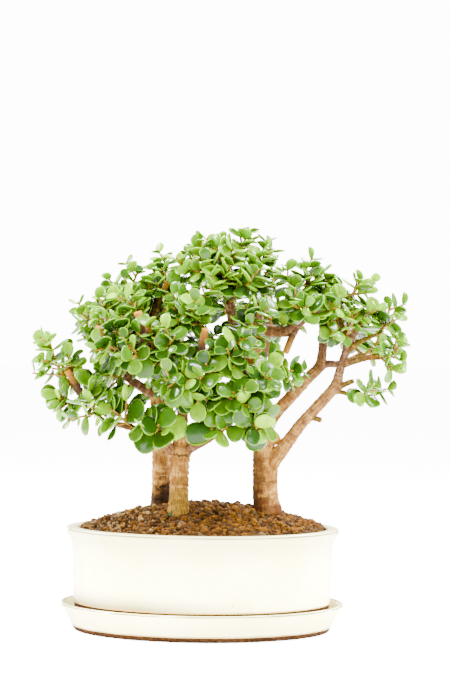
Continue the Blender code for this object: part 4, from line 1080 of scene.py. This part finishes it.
def coarse_leaf(root, along, face, length, grown=0.0):
    """The room of a leaf: a flat upper face inside its rim, and a belly that comes to one point. grown
    makes it larger all round."""
    across = face.cross(along).normalized()

    def place(share, width, height):
        return root + along * (share * length) + across * (width * length) + face * (height * length)

    swell = grown / length
    (near, near_width, near_up), (far, far_width, far_up) = LEAF_RIM
    points = [
        place(0.0, 0.0, 0.0),
        place(near, near_width + swell, near_up + swell),
        place(far + swell, far_width + swell, far_up + swell),
        place(far + swell, -far_width - swell, far_up + swell),
        place(near, -near_width - swell, near_up + swell),
        place(LEAF_BELLY[0], 0.0, LEAF_BELLY[1] - swell),
    ]
    faces = [(0, 4, 1), (1, 4, 3, 2)]
    faces += [(i, (i + 1) % 5, 5) for i in range(5)]
    return points, faces


def leaf_pose(at, along_stem, turn, lean, light_share):
    """The direction of a leaf that leaves the stem at this turn and lean, and the way its face looks:
    towards the stem's tip, turned to the light above and outside the crown."""
    out = Matrix.Rotation(turn, 3, along_stem) @ along_stem.orthogonal().normalized()
    along = (along_stem * math.cos(lean) + out * math.sin(lean)).normalized()
    outward = at - CROWN_CENTRE
    outward.x /= CROWN_LONG
    up = LOW_LIGHT + (HIGH_LIGHT - LOW_LIGHT) * height_share(at)
    light = (outward.normalized() + Vector((0, 0, up))).normalized()
    face = (along_stem - out * FACE_BACK) * (1 - light_share) + light * light_share
    face = face - along * face.dot(along)
    if face.length < FACE_LEAST:
        face = along_stem - along * along_stem.dot(along)
    return along, face.normalized()


def side_shoot(end, size, draw):
    """A short shoot that leaves the leafy stem low down, outwards and a little upwards."""
    points, radii = end
    along = (points[1] - points[0]).normalized()
    foot = points[0].lerp(points[1], SIDE_FOOT)
    turn = draw.uniform(0, 2 * math.pi)
    out = Matrix.Rotation(turn, 3, along) @ along.orthogonal().normalized()
    way = (along * SIDE_ONWARD + out + Vector((0, 0, SIDE_UPWARD))).normalized()
    return [foot, foot + way * SIDE_SHOOT * size], [radii[0] * SIDE_THINNER, SIDE_TIP]


def find_room(placed, label, at, along_stem, turn, lean, light, length, clear):
    """The first of the tries at a leaf that meets nothing: its root, direction, face and length."""
    for turn_by, lean_by, scale in LEAF_TRIES:
        along, face = leaf_pose(at, along_stem, turn + turn_by, lean + lean_by, light)
        root = at + along * ROOT_OUT
        if placed.is_clear(*coarse_leaf(root, along, face, length * scale, clear), own=(label,)):
            return root, along, face, length * scale
    return None


def grow_pair(placed, plant, label, points, pair, start_turn, lengths, clear, draw):
    """The pair of leaves that stands this many pairs back from the shoot's tip. A leaf that meets
    another is turned and shortened, and left out where that doesn't help."""
    at, index = point_back_from_end(points, TIP_PAIR + pair * PAIR_STEP)
    along_stem = (points[index] - points[index - 1]).normalized()
    for opposite in (0, math.pi):
        length = lengths[pair] * plant["size"] * draw.uniform(*LENGTH_DRAW)
        lean = math.radians(PAIR_LEANS[pair] + draw.uniform(*LEAN_DRAW))
        turn = start_turn + pair * math.pi / 2 + opposite + draw.uniform(*TURN_DRAW)
        light = draw.uniform(*LIGHT_DRAW)
        found = find_room(placed, label, at, along_stem, turn, lean, light, length, clear)
        if found:
            placed.add(plant["name"] + "_leaf", *coarse_leaf(*found))
            plant["leaves"].append((*found, pair))


def has_pair(points, pair):
    """Whether the shoot is long enough for this pair, with its foot left bare."""
    return TIP_PAIR + pair * PAIR_STEP <= length_of(points) - BARE_FOOT


def grow_leaves(sprays, placed):
    """Pairs of leaves along each shoot, each pair a quarter turn from the last, all the youngest pairs
    first."""
    shoots = []
    for number, spray in enumerate(sprays):
        draw = random.Random(SPRAY_SEED + number)
        points, radii = spray["end"]
        spray["stems"], spray["leaves"] = [spray["end"]], []
        shoots.append((spray, spray["name"], points, STEM_PAIRS, draw.uniform(0, math.pi), draw))
        points, radii = side_shoot(spray["end"], spray["size"], draw)
        label = spray["name"] + "_side"
        room = coarse_tube(points, [r + GAP for r in radii], STEM_SIDES)
        if placed.is_clear(*room, own=(spray["name"],)):
            placed.add(label, *coarse_tube(points, radii, STEM_SIDES))
            spray["stems"].append((points, radii))
            shoots.append((spray, label, points, SIDE_PAIRS, draw.uniform(0, math.pi), draw))
    for pair in range(STEM_PAIRS):
        for spray, label, points, pairs, start_turn, draw in shoots:
            if pair < pairs and has_pair(points, pair):
                grow_pair(placed, spray, label, points, pair, start_turn, PAIR_LENGTHS, CLEAR, draw)


# Young shoots fill the crown out: more on each spray's stem and twig, and others straight from the
# limbs. They grow after the model's own leaves, in what room is left
STEM_FEET = (0.1, 0.35, 0.6, 0.85)  # where they leave a spray's stem, as shares of its length
FIRST_FOOT, LIMB_FEET_STEP, LEAFY_LIMB = 2.0, 11.0, 0.85  # and a limb: from its tip, over this share
BARE_BELOW, BARE_RIGHT = (205.0, 285.0), 55.0  # limbs are bare below this height, and on the right
LOWEST_TIP = 196.0
YOUNG_STEMS, LIMB_STEMS = (12.0, 21.0), (16.0, 36.0)  # shortest and longest
YOUNG_RADII = (1.25, 0.85)
YOUNG_LEAVES = (12.0, 16.0, 19.0)
YOUNG_CLEAR = 0.12
YOUNG_ONWARD, YOUNG_OUTWARD, YOUNG_UPWARD = 0.5, 0.7, 0.3
SHOOT_TRIES, SHOOT_SEED = 7, 77


def young_shoot(placed, plant, own, foot, along, lengths, draw):
    """A straight shoot with its pairs of leaves, on the first of a few ways out that has room. It leans
    forward along what it grows from, out of the crown and up."""
    outward = foot - CROWN_CENTRE
    outward.x /= CROWN_LONG
    for _ in range(SHOOT_TRIES):
        out = Matrix.Rotation(draw.uniform(0, 2 * math.pi), 3, along) @ along.orthogonal().normalized()
        way = along * YOUNG_ONWARD + out + outward.normalized() * YOUNG_OUTWARD
        way = (way + Vector((0, 0, YOUNG_UPWARD))).normalized()
        points = [foot, foot + way * draw.uniform(*lengths)]
        room = coarse_tube(points, [r + YOUNG_CLEAR for r in YOUNG_RADII], STEM_SIDES)
        if points[1].z < LOWEST_TIP or not placed.is_clear(*room, own=own):
            continue
        label = plant["name"] + "_young"
        placed.add(label, *coarse_tube(points, YOUNG_RADII, STEM_SIDES))
        plant["stems"].append((points, list(YOUNG_RADII)))
        start_turn = draw.uniform(0, math.pi)
        for pair in range(STEM_PAIRS):
            if has_pair(points, pair):
                grow_pair(placed, plant, label, points, pair, start_turn, YOUNG_LEAVES, YOUNG_CLEAR, draw)
        return


def grow_young_shoots(sprays, inner, placed):
    """First the sprays' own young shoots, then those of the limbs, every few millimetres."""
    draw = random.Random(SHOOT_SEED)
    for spray in sprays:
        own = tuple(spray["name"] + end for end in ("", "_side", "_young")) + ("wood_" + spray["tree"],)
        points = spray["end"][0]
        for share in STEM_FEET:
            foot, index = point_back_from_end(points, length_of(points) * (1 - share))
            along = (points[index] - points[index - 1]).normalized()
            young_shoot(placed, spray, own, foot, along, YOUNG_STEMS, draw)
    for tree_name, plant in inner.items():
        own = ("wood_" + tree_name, plant["name"] + "_young")
        wood = [route_of(rows)[0] for rows in LIMBS[tree_name]]
        wood += [spray["foot"][0] for spray in sprays if spray["tree"] == tree_name]
        for points in wood:
            for step in range(int(LEAFY_LIMB * length_of(points) / LIMB_FEET_STEP) + 1):
                foot, index = point_back_from_end(points, step * LIMB_FEET_STEP + FIRST_FOOT)
                if foot.z > BARE_BELOW[foot.x > BARE_RIGHT]:
                    along = (points[index] - points[index - 1]).normalized()
                    young_shoot(placed, plant, own, foot, along, LIMB_STEMS, draw)


def leaf_surfaces(leaves, draw):
    """All the leaves of a spray as one array. Along u from root to tip, the half width rises to its
    widest at six tenths and closes in a round tip. Round the section, at angle t, the point stands at
    cos t of the half width and sin t of the thickness, which is greater below than above. Cup lifts
    the rim by the square of the way across, and curl bends the tip by the square of the way along."""
    root, along, face = (np.array([tuple(leaf[i]) for leaf in leaves]) for i in range(3))
    length = np.array([leaf[3] for leaf in leaves])[:, None, None]
    across = unit(np.cross(face, along))
    u = LEAF_STATIONS[None, :, None]
    t = np.linspace(0.0, 2 * math.pi, LEAF_AROUND, endpoint=False)[None, None, :]
    base = np.abs(1 - np.minimum(u, LEAF_WIDEST) / LEAF_WIDEST) ** ROOT_CLOSE
    tip = np.clip((u - LEAF_WIDEST) / (1 - LEAF_WIDEST), 0, 1) ** TIP_CLOSE
    wide = np.maximum((1 - base) ** ROOT_ROUND * (1 - tip) ** TIP_ROUND, 0.0)
    width = wide * LEAF_WIDE * draw.uniform(*WIDE_DRAW, length.shape)
    width = np.maximum(width, STALK_WIDE * (1 - u))
    over = OVER * wide**THIN_RIM + ROOT_OVER * (1 - u)
    under = UNDER * wide**THIN_RIM + ROOT_UNDER * (1 - u)
    x = np.cos(t) * width
    z = np.where(np.sin(t) > 0, over, under) * np.sin(t)
    cup = draw.uniform(*CUP_DRAW, length.shape)
    curl = draw.uniform(*CURL_DRAW, length.shape)
    z = z + cup * (x / LEAF_WIDE) ** 2 + curl * u**2
    u, x, z = (np.broadcast_to(v, z.shape) * length for v in (u, x, z))
    points = root[:, None, None] + (
        u[..., None] * along[:, None, None] + x[..., None] * across[:, None, None]
        + z[..., None] * face[:, None, None])
    return points


def outer_share(place):
    """From 0 in the crown's middle and low down to 1 at its two ends and its top, where it still grows."""
    x, _, z = (place - CROWN_CENTRE) / CROWN_REACH
    return min(max(math.hypot(x, max(z, 0.0)) * OUTER_SLOPE - OUTER_START, 0.0), 1.0)


def leaf_finish():
    """Waxy succulent leaf: dark to light green from leaf to leaf, yellow green where young, with light
    through the rim painted on as a paler green, and a little light comes through the whole leaf."""
    finish, tree, shader = finish_tree("waxy_jade_leaf", 0.2, Specular_IOR_Level=0.25,
                                       Subsurface_Weight=0.25, Subsurface_Scale=0.003,
                                       Subsurface_Radius=(0.5, 1.0, 0.15))
    tint, young, glow_rim, stem = (add_node(tree, "Attribute", {"attribute_name": mark}, "Fac")
                              for mark in LEAF_MARKS)
    place = add_node(tree, "TexCoord", out="Object")
    mottle = add_node(tree, "TexNoise", Vector=place, Scale=scale_for(LEAF_MOTTLE), Detail=3.0)
    green = add_node(tree, "MapRange", EASE, Value=tint, From_Min=0.0, From_Max=0.6)
    light = add_node(tree, "MapRange", EASE, Value=tint, From_Min=0.55, From_Max=1.0)
    rim_glow = add_node(tree, "MapRange", EASE, Value=glow_rim, From_Min=0.8, From_Max=1.0, To_Max=RIM_GLOW_SHARE)
    dark = add_node(tree, "MapRange", EASE, Value=mottle, From_Min=0.6, From_Max=0.35,
                    To_Max=MOTTLE_SHARE)
    body = coated(tree, colour(LEAF_DARK), (green, LEAF_GREEN), (light, LEAF_LIGHT),
                  (young, LEAF_YOUNG), (rim_glow, LEAF_YOUNG), (dark, LEAF_DARK), (stem, STEM_TAN))
    tree.links.new(body, shader.inputs["Base Color"])
    fine = add_node(tree, "TexNoise", Vector=place, Scale=scale_for(LEAF_GRAIN), Detail=2.0)
    bump = add_node(tree, "Bump", Strength=0.12, Distance=0.15 * MM, Height=fine)
    tree.links.new(bump, shader.inputs["Normal"])
    rough = add_node(tree, "MapRange", Value=mottle, From_Min=0.3, From_Max=0.7, To_Min=0.14,
                     To_Max=0.28)
    tree.links.new(rough, shader.inputs["Roughness"])
    return finish


# More sprays, which only the finished crown has: tip and leaf size, as in SPRAYS
MORE_SPRAYS = {
    "front": [(-16, -38, 322, 1.0), (8, -48, 330, 1.0), (-70, -30, 318, 1.0), (-92, -30, 300, 1.0)],
    "back": [(-34, 2, 342, 1.0), (-30, -16, 332, 1.0), (-66, 16, 345, 0.95), (-100, -6, 312, 1.0),
             (-84, 30, 330, 1.0), (-130, -20, 262, 1.0)],
    "right": [(-24, -6, 352, 1.0), (-8, -24, 345, 1.0), (2, -30, 356, 1.0), (8, -14, 368, 1.0),
              (-14, 14, 362, 1.0), (22, -24, 360, 1.0), (50, -14, 362, 1.0), (76, -14, 340, 1.0),
              (40, 24, 372, 1.0), (20, -36, 345, 1.05)],
}
# Nothing more grows past the model's own reach, or in front of the pruned ends
WALL_REACH, WALL_TOP = 400, 500
OPEN_SHARES, OPEN_REACH, OPEN_ROOM, OPEN_SIDES = (0.35, 0.65, 0.95), 60, 3, 6
LEAF_MARKS = ("leaf_tint", "leaf_young", "leaf_rim_glow", "leaf_stem")


grow_leaves(sprays, placed)
(left, near, _), (right, far, top) = (corner / MM for corner in cad_box)
for x, y, way in ((left, 0, (0, 1)), (right, 0, (0, 1)), (0, near, (1, 0)), (0, far, (1, 0))):
    wall = [
        (x + s * way[0] * WALL_REACH, y + s * way[1] * WALL_REACH, z)
        for s, z in ((-1, 0), (1, 0), (1, WALL_TOP), (-1, WALL_TOP))
    ]
    placed.add("outer_reach", wall, [(0, 1, 2, 3)])
ceiling = [(x * WALL_REACH, y * WALL_REACH, top) for x, y in ((-1, -1), (1, -1), (1, 1), (-1, 1))]
placed.add("outer_reach", ceiling, [(0, 1, 2, 3)])
for foot, end, radius in (stub for tree_name in TREES for stub in STUBS[tree_name]):
    for share in OPEN_SHARES:
        near = Vector(foot).lerp(Vector(end), share)
        view = [near, near - Vector((0, OPEN_REACH, 0))]
        placed.add("kept_open", *coarse_tube(view, (radius + OPEN_ROOM,) * 2, OPEN_SIDES))
more = []
for tree_name in TREES:
    for number, (x, y, z, size) in enumerate(MORE_SPRAYS[tree_name], 1):
        name = f"{tree_name}_filling_spray_{number:02d}"
        way = place_twig(placed, tree_name, name, Vector((x, y, z)), taken_feet[tree_name])
        if way:
            more.append({"name": name, "tree": tree_name, "size": size, "foot": way[0], "end": way[1]})
grow_leaves(more, placed)
surfaces = twig_surfaces(more, np.random.default_rng(TWIG_SEED))
twigs = gathered("filling_twigs", bark, surfaces, WOOD_MARKS)
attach(twigs, "root")
inner = {
    name: {"name": name + "_inner_shoots", "tree": name, "size": 1.0, "stems": [], "leaves": []}
    for name in TREES
}
grow_young_shoots(sprays + more, inner, placed)
waxy_leaf = leaf_finish()
draw = np.random.default_rng(LEAF_SEED)
for spray in sprays + more + list(inner.values()):
    surfaces = []
    for points, radii in spray["stems"]:
        route, radius = smooth_route(points, radii, TWIG_DETAIL[1])
        grid = swept(*with_ends(route, np.repeat(radius[:, None], TWIG_DETAIL[0], axis=1), 1.0))
        flat = np.zeros(grid.shape[:2])
        surfaces.append((grid, flat + STEM_TINT, flat, flat, flat + 1.0))
    if spray["leaves"]:
        blades = leaf_surfaces(spray["leaves"], draw)
        for blade, (*_, pair) in zip(blades, spray["leaves"]):
            flat = np.zeros(blade.shape[:2])
            outer = outer_share(blade.mean(axis=(0, 1)))
            tint = draw.normal(TINT + TINT_OUTER * outer - TINT_BACK * pair, TINT_SPREAD)
            young = draw.normal(YOUNG + YOUNG_OUTER * outer - YOUNG_BACK * pair, YOUNG_SPREAD)
            tint, young = np.clip((tint, young), 0, 1)
            young = draw.uniform(*SUNLIT_DRAW) if draw.random() < SUNLIT_SHARE else young
            t = np.linspace(0.0, 2 * math.pi, LEAF_AROUND, endpoint=False)[None, :]
            # The rim and the tip get painted light, a paler green as if lit through
            glow_rim = np.maximum(np.abs(np.cos(t)) + flat, LEAF_STATIONS[:, None] ** 3)
            surfaces.append((blade, flat + tint, flat + young, glow_rim, flat))
    piece = gathered(spray["name"] + "_leaves", waxy_leaf, surfaces, LEAF_MARKS)
    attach(piece, "root")
    if spray in sprays:
        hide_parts(spray["name"])


# Floor and light
# A white sweep under soft studio light: a key and a fill from the right, a broad lamp behind that
# shines through the outer leaves, one on the left, and white all round.

# The surround's strength as it lights the plant, as leaves and glaze mirror it, and as it is seen
SURROUND_LIGHT, SURROUND_GLOSS, SURROUND_SEEN = 1.1, 1.0, 14.0
FLOOR_SEEN = 12.0  # how much brighter than lit the floor is seen
FLOOR_CORNERS = [(-6, -4, 0), (6, -4, 0), (6, 12, 0), (-6, 12, 0)]  # in metres
FLOOR_WHITE, PURE_WHITE = "#FAFAF8", (1, 1, 1, 1)

floor_finish, tree, shader = finish_tree("white_studio_floor", 0.9, Specular_IOR_Level=0.1,
                                         Base_Color=colour(FLOOR_WHITE), Emission_Color=PURE_WHITE)
seen = add_node(tree, "LightPath", out="Is Camera Ray")
glow = add_node(tree, "MapRange", Value=seen, To_Min=0.0, To_Max=FLOOR_SEEN)
tree.links.new(glow, shader.inputs["Emission Strength"])
mesh = bpy.data.meshes.new("studio_floor")
mesh.from_pydata(FLOOR_CORNERS, [], [(0, 1, 2, 3)])
mesh.materials.append(floor_finish)
floor = bpy.data.objects.new("studio_floor", mesh)
bpy.context.scene.collection.objects.link(floor)

world = bpy.data.worlds.new("white_surround")
bpy.context.scene.world = world
world.use_nodes = True
tree = world.node_tree
mirrored = add_node(tree, "LightPath", out="Is Glossy Ray")
lit = add_node(tree, "MapRange", Value=mirrored, To_Min=SURROUND_LIGHT, To_Max=SURROUND_GLOSS)
strength = add_node(tree, "MapRange", Value=mirrored.node.outputs["Is Camera Ray"], To_Min=lit,
                    To_Max=SURROUND_SEEN)
tree.nodes["Background"].inputs["Color"].default_value = PURE_WHITE
tree.links.new(strength, tree.nodes["Background"].inputs["Strength"])

LIGHTS = [  # name, place in metres, aim, size, watts
    ("key_softbox", (0.8, -0.6, 1.8), (0, 0, 0.25), 0.6, 165.0),
    ("fill_softbox", (1.3, -1.8, 0.7), (0, 0, 0.15), 1.0, 40.0),
    ("back_softbox", (0.6, 1.0, 1.4), (0, 0, 0.28), 0.8, 220.0),
    ("left_softbox", (-1.3, 0.2, 1.2), (-0.1, 0, 0.25), 0.6, 170.0),
]
# Low strips on the floor's level light the pot from all round. A grid keeps their light off the leaves
STRIP_WATTS, STRIP_AWAY, STRIP_HEIGHT, STRIP_SIZE = 1.2, 1.2, 0.045, (0.6, 0.06)
STRIP_SPREAD = math.radians(6)
STRIP_COUNT, STRIP_TURN = 4, 20  # the first stands this many degrees off the camera's line


def add_light(name, where, aim, watts, size):
    """A rectangular area lamp that faces its aim."""
    lamp = bpy.data.lights.new(name, "AREA")
    lamp.shape = "RECTANGLE"
    lamp.energy, lamp.size, lamp.size_y = watts, *size
    light = bpy.data.objects.new(name, lamp)
    light.location = where
    light.rotation_mode = "QUATERNION"
    light.rotation_quaternion = (Vector(aim) - Vector(where)).to_track_quat("-Z", "Y")
    bpy.context.scene.collection.objects.link(light)
    return lamp


for name, where, aim, size, watts in LIGHTS:
    add_light(name, where, aim, watts, (size, size))
for number in range(STRIP_COUNT):
    turn = math.radians(360 / STRIP_COUNT * number + STRIP_TURN)
    where = (STRIP_AWAY * math.sin(turn), -STRIP_AWAY * math.cos(turn), STRIP_HEIGHT)
    lamp = add_light(f"pot_strip_{number}", where, (0, 0, STRIP_HEIGHT), STRIP_WATTS, STRIP_SIZE)
    lamp.spread = STRIP_SPREAD
